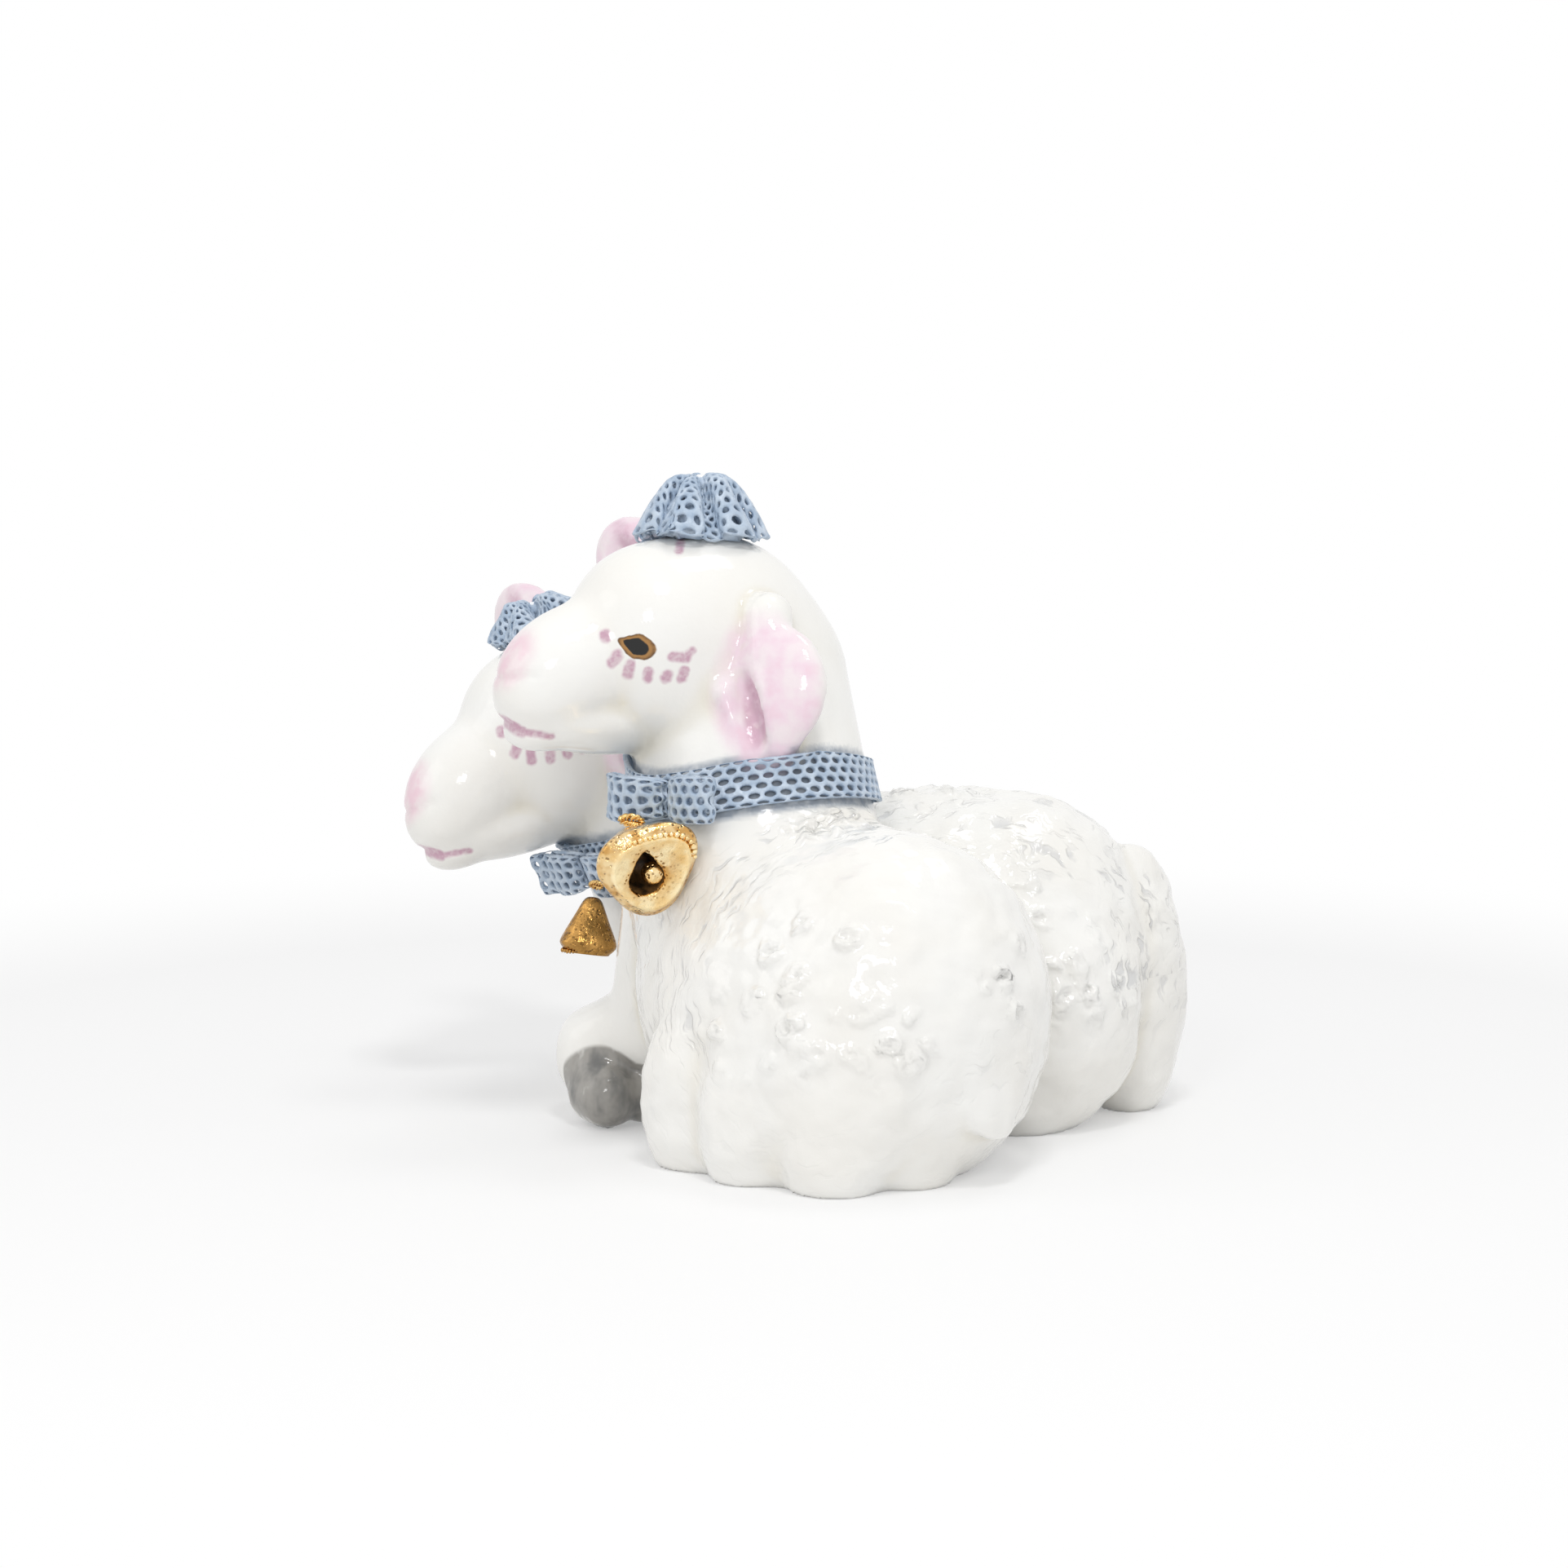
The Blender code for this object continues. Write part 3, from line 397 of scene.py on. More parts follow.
def buildClay():
    tree = geometryTree("lambClay")
    nodes = Tree(tree)
    place = nodes.add("GeometryNodeInputPosition")
    heaps = [lambLumps(frontLamb), lambLumps(rearLamb)]
    both = [(None, {"kind": "heap", "lumps": heap, "blend": blend}) for heap, blend in zip(heaps, (0.0, clay["lambBlend"]))]
    field = clayField(nodes, place, both)
    field = nodes.math("SMOOTH_MAX", field, nodes.math("MULTIPLY", nodes.axis(place, "Z"), -1.0), clay["footRound"])
    low, high = Vector((-61, -54, -clay["margin"])), Vector((60, 63, 92))
    counts = [math.ceil(side / clay["cell"]) for side in high - low]
    high = low + Vector(counts) * clay["cell"]
    volume = nodes.add("GeometryNodeVolumeCube", {
        "Density": nodes.math("MULTIPLY", field, -1.0), "Background": -clay["margin"],
        "Min": tuple(low), "Max": tuple(high),
        "Resolution X": counts[0], "Resolution Y": counts[1], "Resolution Z": counts[2],
    })
    skin = nodes.add("GeometryNodeVolumeToMesh", {"Volume": volume, "Threshold": 0.0})
    smooth = nodes.add("GeometryNodeBlurAttribute", {"Value": place, "Iterations": 2}, data_type="FLOAT_VECTOR")
    skin = nodes.add("GeometryNodeSetPosition", {"Geometry": skin, "Position": smooth})

    # where the skin is fleece, and of which lamb
    covers = []
    for lamb in (frontLamb, rearLamb):
        trunkAt = trunkFrame(lamb)
        covers.append(clayField(nodes, place, [(trunkAt, s) for s in trunk + lamb["fleece"]]))
    nearest = nodes.math("MINIMUM", *covers)
    fleece = nodes.ramp(nearest, 0.6, relief["fleeceFade"], 1.0, 0.0)
    rear = nodes.ramp(nodes.math("SUBTRACT", *covers), -0.5, 0.5)
    for label, value in (("fleece", fleece), ("rear", rear)):
        skin = nodes.add("GeometryNodeStoreNamedAttribute", {"Geometry": skin, "Name": label, "Value": value})

    # hollows between the forms, where the body is painted a darker cream as painted shade
    calm = nodes.add("GeometryNodeBlurAttribute", {"Value": place, "Iterations": 14}, data_type="FLOAT_VECTOR")
    facing = nodes.add("GeometryNodeInputNormal")
    sunk = nodes.vector("DOT_PRODUCT", nodes.vector("SUBTRACT", calm, place), facing)
    skin = nodes.add("GeometryNodeStoreNamedAttribute", {"Geometry": skin, "Name": "sunk", "Value": sunk})

    # soft dimples everywhere on the fleece, rings of wool in patches, and the creases of the face
    ground = nodes.ramp(nodes.axis(place, "Z"), 0.8, 4.0)
    held = nodes.math("MULTIPLY", fleece, ground)
    dimple = nodes.math("MULTIPLY", nodes.math("SUBTRACT", nodes.noise(place, relief["dimpleScale"], 2.0), 0.5), relief["dimple"] * 2)
    curls = nodes.math("MULTIPLY", nodes.math("MULTIPLY", curlRings(nodes, place), curlPatch(nodes, place)), relief["curl"])
    rise = nodes.math("MULTIPLY", nodes.math("ADD", dimple, curls), held)
    for lamb in (frontLamb, rearLamb):
        local = nodes.inFrame(place, skullFrame(lamb))
        near = nodes.ramp(nodes.vector("LENGTH", nodes.vector("SUBTRACT", local, (27, 0, -9))), 9.0, 11.0, 1.0, 0.0)
        flat = sideOn(nodes, local)
        for start, end, width in face["creases"]:
            crease = nodes.math("MULTIPLY", dab(nodes, flat, start, end, width, 0.5), near)
            rise = nodes.math("MULTIPLY_ADD", crease, -relief["crease"], rise)
    normal = nodes.add("GeometryNodeInputNormal")
    offset = nodes.add("ShaderNodeVectorMath", {0: normal, "Scale": rise}, operation="SCALE")
    skin = nodes.add("GeometryNodeSetPosition", {"Geometry": skin, "Offset": offset})
    out = tree.nodes.new("NodeGroupOutput")
    tree.links.new(skin, out.inputs[0])
    source = newObject("claySource", bpy.data.meshes.new("claySource"))
    mesh = applied(source, tree)
    bpy.data.objects.remove(source)
    for v in mesh.vertices:
        if abs(v.co.z) < 0.25:
            v.co.z = 0.0
    return mesh


bodyMesh = buildClay()
print("clay", len(bodyMesh.polygons), "faces")


def skinTree(mesh):
    return BVHTree.FromPolygons([v.co for v in mesh.vertices], [p.vertices for p in mesh.polygons])


skin = skinTree(bodyMesh)


def skinReach(start, way):  # how far a ray goes until it meets the porcelain
    distance = skin.ray_cast(Vector(start), Vector(way).normalized())[3]
    return 0.0 if distance is None else distance


def uprightFrame(origin, axis, ahead):
    z = Vector(axis).normalized()
    y = z.cross(Vector(ahead)).normalized()
    return Matrix.Translation(origin) @ Matrix((y.cross(z), y, z)).transposed().to_4x4()


# Lace: a sheet of staggered points becomes a net of six-sided meshes
def buildLaceTree():
    tree = geometryTree("laceNet", (
        ("Geometry", "NodeSocketGeometry"), ("Hole", "NodeSocketFloat"), ("Squeeze", "NodeSocketFloat"),
        ("Thickness", "NodeSocketFloat"), ("Ragged", "NodeSocketFloat"), ("Material", "NodeSocketMaterial"),
    ))
    nodes = Tree(tree)
    given = tree.nodes.new("NodeGroupInput").outputs
    place = nodes.add("GeometryNodeInputPosition")
    wander = nodes.vector("SUBTRACT", nodes.noise(place, 0.9, 1.0, output="Color"), (0.5, 0.5, 0.5))
    wander = nodes.add("ShaderNodeVectorMath", {0: wander, "Scale": given["Ragged"]}, operation="SCALE")
    sheet = nodes.add("GeometryNodeSetPosition", {"Geometry": given["Geometry"], "Offset": wander})
    cells = nodes.add("GeometryNodeDualMesh", {"Mesh": sheet, "Keep Boundaries": True})
    extruded = nodes.add("GeometryNodeExtrudeMesh", {"Mesh": cells, "Offset Scale": 0.0, "Individual": True}, mode="FACES")
    top = extruded.node.outputs["Top"]
    up = nodes.add("GeometryNodeInputNamedAttribute", {"Name": "up"}, "Attribute", data_type="FLOAT_VECTOR")
    shrunk = nodes.add("GeometryNodeScaleElements", {"Geometry": extruded, "Selection": top, "Scale": given["Hole"]})
    squeezed = nodes.add(
        "GeometryNodeScaleElements",
        {"Geometry": shrunk, "Selection": top, "Scale": given["Squeeze"], "Axis": up}, scale_mode="SINGLE_AXIS",
    )
    net = nodes.add("GeometryNodeDeleteGeometry", {"Geometry": squeezed, "Selection": top}, domain="FACE")
    half = nodes.math("MULTIPLY", given["Thickness"], -0.5)
    normal = nodes.add("GeometryNodeInputNormal")
    sunk = nodes.add("ShaderNodeVectorMath", {0: normal, "Scale": half}, operation="SCALE")
    net = nodes.add("GeometryNodeSetPosition", {"Geometry": net, "Offset": sunk})
    front = nodes.add("GeometryNodeExtrudeMesh", {"Mesh": net, "Offset Scale": given["Thickness"], "Individual": False}, mode="FACES")
    back = nodes.add("GeometryNodeFlipFaces", {"Mesh": net})
    joined = nodes.tree.nodes.new("GeometryNodeJoinGeometry")
    for piece in (front, back):
        tree.links.new(piece, joined.inputs[0])
    solid = nodes.add("GeometryNodeMergeByDistance", {"Geometry": joined.outputs[0], "Distance": 0.01})
    round_ = nodes.add("GeometryNodeSubdivisionSurface", {"Mesh": solid, "Level": 1})
    lumpy = nodes.math("MULTIPLY", nodes.math("SUBTRACT", nodes.noise(place, 1.6, 1.0), 0.5), 0.16)
    lumpy = nodes.add("ShaderNodeVectorMath", {0: normal, "Scale": lumpy}, operation="SCALE")
    round_ = nodes.add("GeometryNodeSetPosition", {"Geometry": round_, "Offset": lumpy})
    whole = nodes.add("GeometryNodeRealizeInstances", {"Geometry": round_})
    painted = nodes.add("GeometryNodeSetMaterial", {"Geometry": whole, "Material": given["Material"]})
    out = tree.nodes.new("NodeGroupOutput")
    tree.links.new(painted, out.inputs[0])
    return tree


laceTree = buildLaceTree()


def laceSheet(name, rows, closed, ups):  # triangles between staggered rows of points
    bm = bmesh.new()
    up = bm.verts.layers.float_vector.new("up")
    grid = [[bm.verts.new(p) for p in row] for row in rows]
    for row, directions in zip(grid, ups):
        for v, direction in zip(row, directions):
            v[up] = direction
    columns = len(grid[0])
    for r in range(len(grid) - 1):
        low, high = grid[r], grid[r + 1]
        for c in range(columns if closed else columns - 1):
            n = (c + 1) % columns
            if r % 2 == 0:
                bm.faces.new((low[c], low[n], high[c]))
                bm.faces.new((low[n], high[n], high[c]))
            else:
                bm.faces.new((low[c], low[n], high[n]))
                bm.faces.new((low[c], high[n], high[c]))
    mesh = bpy.data.meshes.new(name + "Sheet")
    bm.to_mesh(mesh)
    bm.free()
    return newObject(name + "Sheet", mesh)


def lacePiece(name, rows, closed, ups, values, material):
    sheet = laceSheet(name, rows, closed, ups)
    mesh = applied(sheet, laceTree, {**values, "Material": material})
    bpy.data.objects.remove(sheet)
    mesh.shade_smooth()
    return newObject(name, mesh)


collars = {
    "near": {
        "middle": (-7.4, -2.2, 49.3), "axis": (0.0, 0.0, 1.0), "throat": (-0.883, -0.469, 0.0),
        "limit": 20.0, "rise": 1.9, "columns": 57, "bowTurn": 24.5, "bowDroop": -0.55,
        "bowSplit": 0.34, "bowEnds": (-1.04, 1.08),
    },
    "far": {
        "middle": (-19.5, 31.0, 37.2), "axis": (-0.38, -0.05, 0.92), "throat": (-0.88, -0.47, 0.0),
        "limit": 22.0, "rise": 0.0, "columns": 52, "bowTurn": 12.0, "bowDroop": -0.8,
        "bowSplit": 0.1, "bowEnds": (-1.05, 1.0),
    },
}
collar = {"width": 5.9, "rows": 6, "gap": 0.35, "hole": 0.74, "squeeze": 0.72, "thickness": 0.75, "ragged": 0.3}
bow = {
    "half": 9.0, "columns": 6, "rows": 5, "height": 3.15, "pinch": 0.72, "lift": 1.25, "puff": 1.3, "give": 2.9,
    "loopDeep": 0.62,  # half the depth of each loop
    "hole": 0.67, "squeeze": 0.9, "thickness": 0.78, "ragged": 0.42,
}


def collarReach(band, turn, height):  # a place on the collar's axis, the way out from it, and how far the skin is
    spot = uprightFrame(band["middle"], band["axis"], band["throat"])
    angle = math.radians(turn)
    start = spot @ Vector((0.0, 0.0, height - band["rise"] * math.cos(2 * angle)))
    way = spot.to_3x3() @ Vector((math.cos(angle), math.sin(angle), 0.0))
    return start, way, min(skinReach(start, way), band["limit"])


def buildCollar(name, band, material):
    rows, ups = [], []
    up = Vector(band["axis"]).normalized()
    for r in range(collar["rows"]):
        height = collar["width"] * (r / (collar["rows"] - 1) - 0.5)
        row = []
        for c in range(band["columns"]):
            turn = 360 * (c + 0.5 * (r % 2)) / band["columns"]
            start, way, reach = collarReach(band, turn, height)
            reach = max(reach, *(collarReach(band, turn + near, height)[2] for near in (-5, 5)))
            row.append(start + way * (reach + collar["gap"] + collar["thickness"] / 2))
        rows.append(row)
        ups.append([up] * len(row))
    values = {"Hole": collar["hole"], "Squeeze": collar["squeeze"], "Thickness": collar["thickness"], "Ragged": collar["ragged"]}
    return lacePiece(name, rows, True, ups, values, material)


def buildBow(name, band, material):
    near = collarReach(band, band["bowTurn"], 0.0)[2]
    radius = near + collar["gap"] + collar["thickness"]
    up = Vector(band["axis"]).normalized()
    values = {"Hole": bow["hole"], "Squeeze": bow["squeeze"], "Thickness": bow["thickness"], "Ragged": bow["ragged"]}
    loops = []
    for end in band["bowEnds"]:
        for layer in (bow["loopDeep"], -bow["loopDeep"]):
            rows, ups = [], []
            for r in range(bow["rows"]):
                v = 2 * r / (bow["rows"] - 1) - 1
                row = []
                for c in range(bow["columns"]):
                    t = max(0.0, min(1.0, (c + 0.5 * (r % 2) - 0.25) / (bow["columns"] - 1)))
                    u = band["bowSplit"] + (end - band["bowSplit"]) * (0.04 + 0.96 * t)
                    around = band["bowTurn"] + math.degrees(u * bow["half"] / (radius + bow["lift"]))
                    droop = band["bowDroop"] * u
                    heights = [h * collar["width"] / 2 + lower for h in (-1, 0, 1) for lower in (0.0, droop)]
                    reach = min(near + bow["give"], max(collarReach(band, around, h)[2] for h in heights))
                    full = bow["pinch"] + (1 - bow["pinch"]) * math.sin(min(1.0, t * 3.0) * math.pi / 2)
                    out = bow["lift"] + bow["puff"] * math.sin(min(1.0, t * 1.6) * math.pi / 2)
                    out += layer * math.sqrt(1 - t ** 6) - 0.9 * max(0.0, 0.2 - t) / 0.2
                    start, way, _ = collarReach(band, around, v * bow["height"] * full + droop - 0.35 * t)
                    row.append(start + way * (reach + collar["gap"] + collar["thickness"] + out))
                rows.append(row if end > 0 else row[::-1])
                ups.append([up] * len(row))
            loops.append(lacePiece(name + "Loop", rows, False, ups, values, material))
    return joinedPiece(name, loops)


def joinedPiece(name, parts):  # one mesh from several, with its materials in order
    bm = bmesh.new()
    materials = []
    for part in parts:
        slots = []
        for material in part.data.materials:
            if material not in materials:
                materials.append(material)
            slots.append(materials.index(material))
        before = len(bm.faces)
        bm.from_mesh(part.data)
        bm.faces.ensure_lookup_table()
        for face_ in bm.faces[before:]:
            face_.material_index = slots[face_.material_index]
        bpy.data.objects.remove(part)
    mesh = bpy.data.meshes.new(name)
    bm.to_mesh(mesh)
    bm.free()
    for material in materials:
        mesh.materials.append(material)
    mesh.shade_smooth()
    return newObject(name, mesh)


rosettes = {
    "near": {"place": (-0.3, -1.6), "radius": 8.4, "height": 6.0, "folds": 7, "phase": 0.35},
    "far": {"place": (3.0, -1.2), "radius": 6.9, "height": 2.7, "folds": 6, "phase": 1.7},
}
rosette = {
    "columns": 46, "rings": 10, "gap": 0.7, "hole": 0.6, "squeeze": 0.92, "thickness": 0.72, "ragged": 0.6,
    "fold": 2.5,  # how high the folds stand
    "crumple": 1.15, "crumpleScale": 0.36,  # how far the gathers are pushed about, and how close
    "core": 0.82,  # the gathers inside, as a share of the outside
    "knot": 1.7, "dot": 0.75,  # radius of the gathered top and of the white dot on it
}


def buildRosette(name, lamb, puff, material, dotMaterial):
    spot = skullFrame(lamb) @ Matrix.Translation((*puff["place"], 0.0))
    down = spot.to_3x3() @ Vector((0, 0, -1))

    def seat(x, y):
        return 14.0 - skinReach(spot @ Vector((x, y, 14.0)), down) + rosette["gap"]

    crown = seat(0.0, 0.0) + puff["height"]

    def onFold(angle, share, size, sink):
        fold = math.cos(puff["folds"] * angle + puff["phase"] + 0.9 * math.sin(2 * angle + 0.5))
        minor = math.sin(3 * angle + 2 * puff["phase"])
        wide = puff["radius"] * size * share * (1 + 0.1 * fold * share + 0.05 * minor)
        swing = 0.16 * math.sin(2 * puff["folds"] * angle + puff["phase"]) * share
        x, y = wide * math.cos(angle + swing), wide * math.sin(angle + swing)
        push = noise.noise_vector(Vector((x, y, puff["phase"] * 7)) * rosette["crumpleScale"]) * rosette["crumple"] * share
        x, y = x + push.x, y + push.y
        low = seat(x, y)
        slope = 1 - 0.84 * share ** 1.6 - 0.1 * share ** 8
        ridge = 1 - 1.5 * (0.5 - 0.5 * fold) ** 2  # round on top, sharp between the gathers
        lift = rosette["fold"] * ridge * math.sin(math.pi * min(1.0, 0.06 + 0.8 * share))
        high = low + (crown - sink - low) * slope + lift * (1 if size == 1 else 0.7) + 1.6 * push.z
        return spot @ Vector((x, y, max(low, high)))

    rows, ups = [], []
    for r in range(rosette["rings"]):
        share = 0.16 + 0.84 * r / (rosette["rings"] - 1)
        row, directions = [], []
        for c in range(rosette["columns"]):
            angle = math.tau * (c + 0.5 * (r % 2)) / rosette["columns"]
            row.append(onFold(angle, share, 1, 0.0))
            directions.append((spot.to_3x3() @ Vector((math.cos(angle), math.sin(angle), -0.6))).normalized())
        rows.append(row)
        ups.append(directions)
    values = {
        "Hole": rosette["hole"], "Squeeze": rosette["squeeze"], "Thickness": rosette["thickness"], "Ragged": rosette["ragged"],
    }
    net = lacePiece(name + "Net", rows, True, ups, values, material)

    bm = bmesh.new()  # the gathers inside, closed underneath
    rings = [[bm.verts.new(onFold(math.tau * k / 60, share, rosette["core"], 1.1)) for k in range(60)] for share in (0.12, 0.3, 0.5, 0.7, 0.86, 1.0)]
    for low, high in zip(rings, rings[1:]):
        for k in range(60):
            bm.faces.new((low[k], high[k], high[(k + 1) % 60], low[(k + 1) % 60]))
    bm.faces.new(rings[0])
    under = [bm.verts.new(v.co) for v in rings[-1]]
    for v in under:
        local = spot.inverted() @ v.co
        v.co = spot @ Vector((local.x * 0.9, local.y * 0.9, seat(local.x * 0.9, local.y * 0.9) - 0.3))
    for k in range(60):
        bm.faces.new((rings[-1][k], under[k], under[(k + 1) % 60], rings[-1][(k + 1) % 60]))
    bm.faces.new(under)
    bmesh.ops.recalc_face_normals(bm, faces=bm.faces)
    mesh = bpy.data.meshes.new(name + "Core")
    bm.to_mesh(mesh)
    bm.free()
    mesh.materials.append(material)
    core = newObject(name + "Core", mesh)

    extras = []
    for label, radius, height, finish in (("Knot", rosette["knot"], 0.1, material), ("Dot", rosette["dot"], 0.95, dotMaterial)):
        bm = bmesh.new()
        bmesh.ops.create_icosphere(bm, subdivisions=3, radius=radius)
        for v in bm.verts:
            v.co.z *= 0.62
            v.co *= 1 + 0.12 * math.sin(5 * math.atan2(v.co.y, v.co.x)) * (label == "Knot")
        bm.transform(spot @ Matrix.Translation((0.2, 0.6, crown + height)))
        mesh = bpy.data.meshes.new(name + label)
        bm.to_mesh(mesh)
        bm.free()
        mesh.materials.append(finish)
        extras.append(newObject(name + label, mesh))
    return joinedPiece(name, [net, core] + extras)


# Bells: a thick gilded bell pressed to three soft corners, its mouth a plate with a drop-shaped hole
bells = {
    "near": {"crown": (-22.6, -19.8, 43.0), "mouth": (0.33, -0.83, -0.33), "size": 1.1, "wide": 1.0, "loop": (-22.2, -21.0, 45.5), "loopSize": 1.0},
    "far": {
        "crown": (-28.7, 12.2, 29.8), "mouth": (-0.12, -0.12, -1.0), "size": 0.9, "wide": 0.7,
        "loop": (-28.3, 13.2, 31.3), "loopSize": 0.7,
    },
}
bell = {
    "steps": 72,
    "outside": (  # radius and height from the crown to the edge of the mouth
        (1.4, 0.1), (2.2, 0.7), (3.1, 2.2), (4.4, 4.2), (5.5, 5.8), (6.15, 6.9), (6.2, 7.4), (5.9, 7.9), (5.45, 8.3), (5.0, 8.62),
        (4.85, 8.85),
    ),
    "plate": ((4.62, 8.92), (4.4, 8.86), (4.2, 8.72)),
    "hole": ((1.0, 8.65), (0.93, 8.2), (0.9, 7.0), (0.86, 5.4), (0.6, 4.0), (0.2, 3.7)),  # share of the drop, height
    "corner": 0.1,
    "dropAt": (1.0, -0.6), "dropRound": 2.35, "dropPoint": 1.75,  # middle of the drop, its radius, how far its point goes
    "ball": 1.42, "ballAt": (1.15, 0.5, 7.0),
    "beads": 17, "bead": 0.34, "beadFrom": 96, "beadTo": 214,  # bright beads round the upper edge, in degrees
    "loopAcross": 1.75, "loopHigh": 0.5, "loopTube": 0.34, "loopTwist": 6,
}


def dropRadius(angle):  # round, with its point towards the crown of the bell in the photo's view
    off = abs((angle - math.pi + math.pi) % math.tau - math.pi) / 0.85
    return bell["dropRound"] + bell["dropPoint"] * max(0.0, 1 - off) ** 1.5


def bellFrame(facts):
    size, wide = facts["size"], facts["wide"]
    return uprightFrame(facts["crown"], facts["mouth"], (0.3, -0.3, -0.9)) @ Matrix.Diagonal((size * wide, size * wide, size, 1))


def buildBell(name, facts, gold, dark):
    spot = bellFrame(facts)
    bm = bmesh.new()
    rings = []
    steps = bell["steps"]
    outlines = [(p, "rim") for p in bell["outside"] + bell["plate"]] + [(p, "drop") for p in bell["hole"]]
    first = bm.verts.new(spot @ Vector((0, 0, 0)))
    for (radius, height), part in outlines:
        ring = []
        for k in range(steps):
            angle = math.tau * k / steps
            if part == "rim":
                wide = radius * (1 + bell["corner"] * math.cos(3 * angle) * min(1.0, radius / 6.0))
                ribs = math.exp(-(((math.degrees(angle) - 122) / 20) ** 2))  # the pressed folds at one corner
                wide *= 1 + 0.035 * ribs * math.sin(5.2 * height)
                point = Vector((wide * math.cos(angle), wide * math.sin(angle), height))
            else:
                wide = dropRadius(angle) * radius
                point = Vector((bell["dropAt"][0] + wide * math.cos(angle), bell["dropAt"][1] + wide * math.sin(angle), height))
            ring.append(bm.verts.new(spot @ point))
        rings.append(ring)
    last = bm.verts.new(spot @ Vector((*bell["dropAt"], 3.6)))
    # the walls and floor inside the drop-shaped hole take the second material, near black as painted shade
    inside = len(outlines) - len(bell["hole"]) + 1
    for k in range(steps):
        n = (k + 1) % steps
        bm.faces.new((first, rings[0][k], rings[0][n]))
        for level, (low, high) in enumerate(zip(rings, rings[1:])):
            wall = bm.faces.new((low[k], high[k], high[n], low[n]))
            wall.material_index = 1 if level >= inside else 0
        bm.faces.new((last, rings[-1][n], rings[-1][k])).material_index = 1
    bmesh.ops.recalc_face_normals(bm, faces=bm.faces)
    mesh = bpy.data.meshes.new(name)
    bm.to_mesh(mesh)
    bm.free()
    mesh.materials.append(gold)
    mesh.materials.append(dark)
    shell = newObject(name + "Shell", mesh)
    smooth = shell.modifiers.new("smooth", "SUBSURF")
    smooth.levels = smooth.render_levels = 1
    graph = bpy.context.evaluated_depsgraph_get()
    rounded = newObject(name + "Round", bpy.data.meshes.new_from_object(shell.evaluated_get(graph)))
    bpy.data.objects.remove(shell)

    bm = bmesh.new()  # the beads
    for b in range(bell["beads"]):
        angle = math.radians(bell["beadFrom"] + (bell["beadTo"] - bell["beadFrom"]) * b / (bell["beads"] - 1))
        wide = 5.35 * (1 + bell["corner"] * math.cos(3 * angle))
        size = bell["bead"] * (0.8 + 0.35 * math.sin(2.3 * b) ** 2)
        at = Matrix.Translation((wide * math.cos(angle), wide * math.sin(angle), 8.72))
        bmesh.ops.create_icosphere(bm, subdivisions=2, radius=size, matrix=spot @ at)
    mesh = bpy.data.meshes.new(name + "Beads")
    bm.to_mesh(mesh)
    bm.free()
    mesh.materials.append(gold)
    return joinedPiece(name, [rounded, newObject(name + "Beads", mesh)])


def buildBall(name, facts, material):
    spot = bellFrame(facts)
    bm = bmesh.new()
    bmesh.ops.create_icosphere(bm, subdivisions=4, radius=bell["ball"])
    for v in bm.verts:  # a dimple in its front, as a pellet of clay has
        v.co *= 1 - 0.16 * math.exp(-(v.co - Vector((0.15, 0.2, bell["ball"]))).length_squared / 0.22)
    bm.transform(spot @ Matrix.Translation(bell["ballAt"]))
    mesh = bpy.data.meshes.new(name)
    bm.to_mesh(mesh)
    bm.free()
    mesh.shade_smooth()
    mesh.materials.append(material)
    return newObject(name, mesh)


def buildLoop(name, facts, band, material):  # two strands of gilt clay twisted round each other, laid along the bow
    way = collarReach(band, band["bowTurn"], 0.0)[1]
    flat = Vector((way.y, -way.x, 0.0)).normalized() * -1
    bm = bmesh.new()
    around, tube = 96, 10
    for strand in (0, 1):
        rings = []
        for k in range(around):
            angle = math.tau * k / around
            spin = bell["loopTwist"] * angle + math.pi * strand
            out = (flat * math.cos(angle) + Vector((0, 0, 1)) * math.sin(angle)).normalized()
            middle = flat * (bell["loopAcross"] * math.cos(angle)) + Vector((0, 0, bell["loopHigh"] * math.sin(angle)))
            middle += out * (0.2 * math.cos(spin)) + way * (0.2 * math.sin(spin))
            ring = []
            for m in range(tube):
                turn = math.tau * m / tube
                ring.append(bm.verts.new(middle + out * (bell["loopTube"] * math.cos(turn)) + way * (bell["loopTube"] * math.sin(turn))))
            rings.append(ring)
        for k in range(around):
            low, high = rings[k], rings[(k + 1) % around]
            for m in range(tube):
                n = (m + 1) % tube
                bm.faces.new((low[m], low[n], high[n], high[m]))
    bmesh.ops.recalc_face_normals(bm, faces=bm.faces)
    bm.transform(Matrix.Translation(facts["loop"]) @ Matrix.Scale(facts["loopSize"], 4))
    mesh = bpy.data.meshes.new(name)
    bm.to_mesh(mesh)
    bm.free()
    mesh.shade_smooth()
    mesh.materials.append(material)
    return newObject(name, mesh)


# Finishes
def newMaterial(name, colour, roughness, metallic=0.0, coat=0.0):
    material = bpy.data.materials.new(name)
    material.use_nodes = True
    shader = material.node_tree.nodes["Principled BSDF"]
    shader.inputs["Base Color"].default_value = (*colour, 1.0)
    shader.inputs["Roughness"].default_value = roughness
    shader.inputs["Metallic"].default_value = metallic
    shader.inputs["Coat Weight"].default_value = coat
    shader.inputs["Coat Roughness"].default_value = 0.03
    return material, Tree(material.node_tree), shader


def linkTo(nodes, value, shader, socket):
    nodes.tree.links.new(value, shader.inputs[socket])


def modelPlace(nodes):  # object coordinates, in the millimetres of the tables above
    place = nodes.add("ShaderNodeTexCoord", output="Object")
    scaled = nodes.vector("MULTIPLY", place, (1000.0, 1000.0, 1000.0))
    return nodes.vector("SUBTRACT", scaled, tuple(figureFrame.to_translation() * 1000.0))


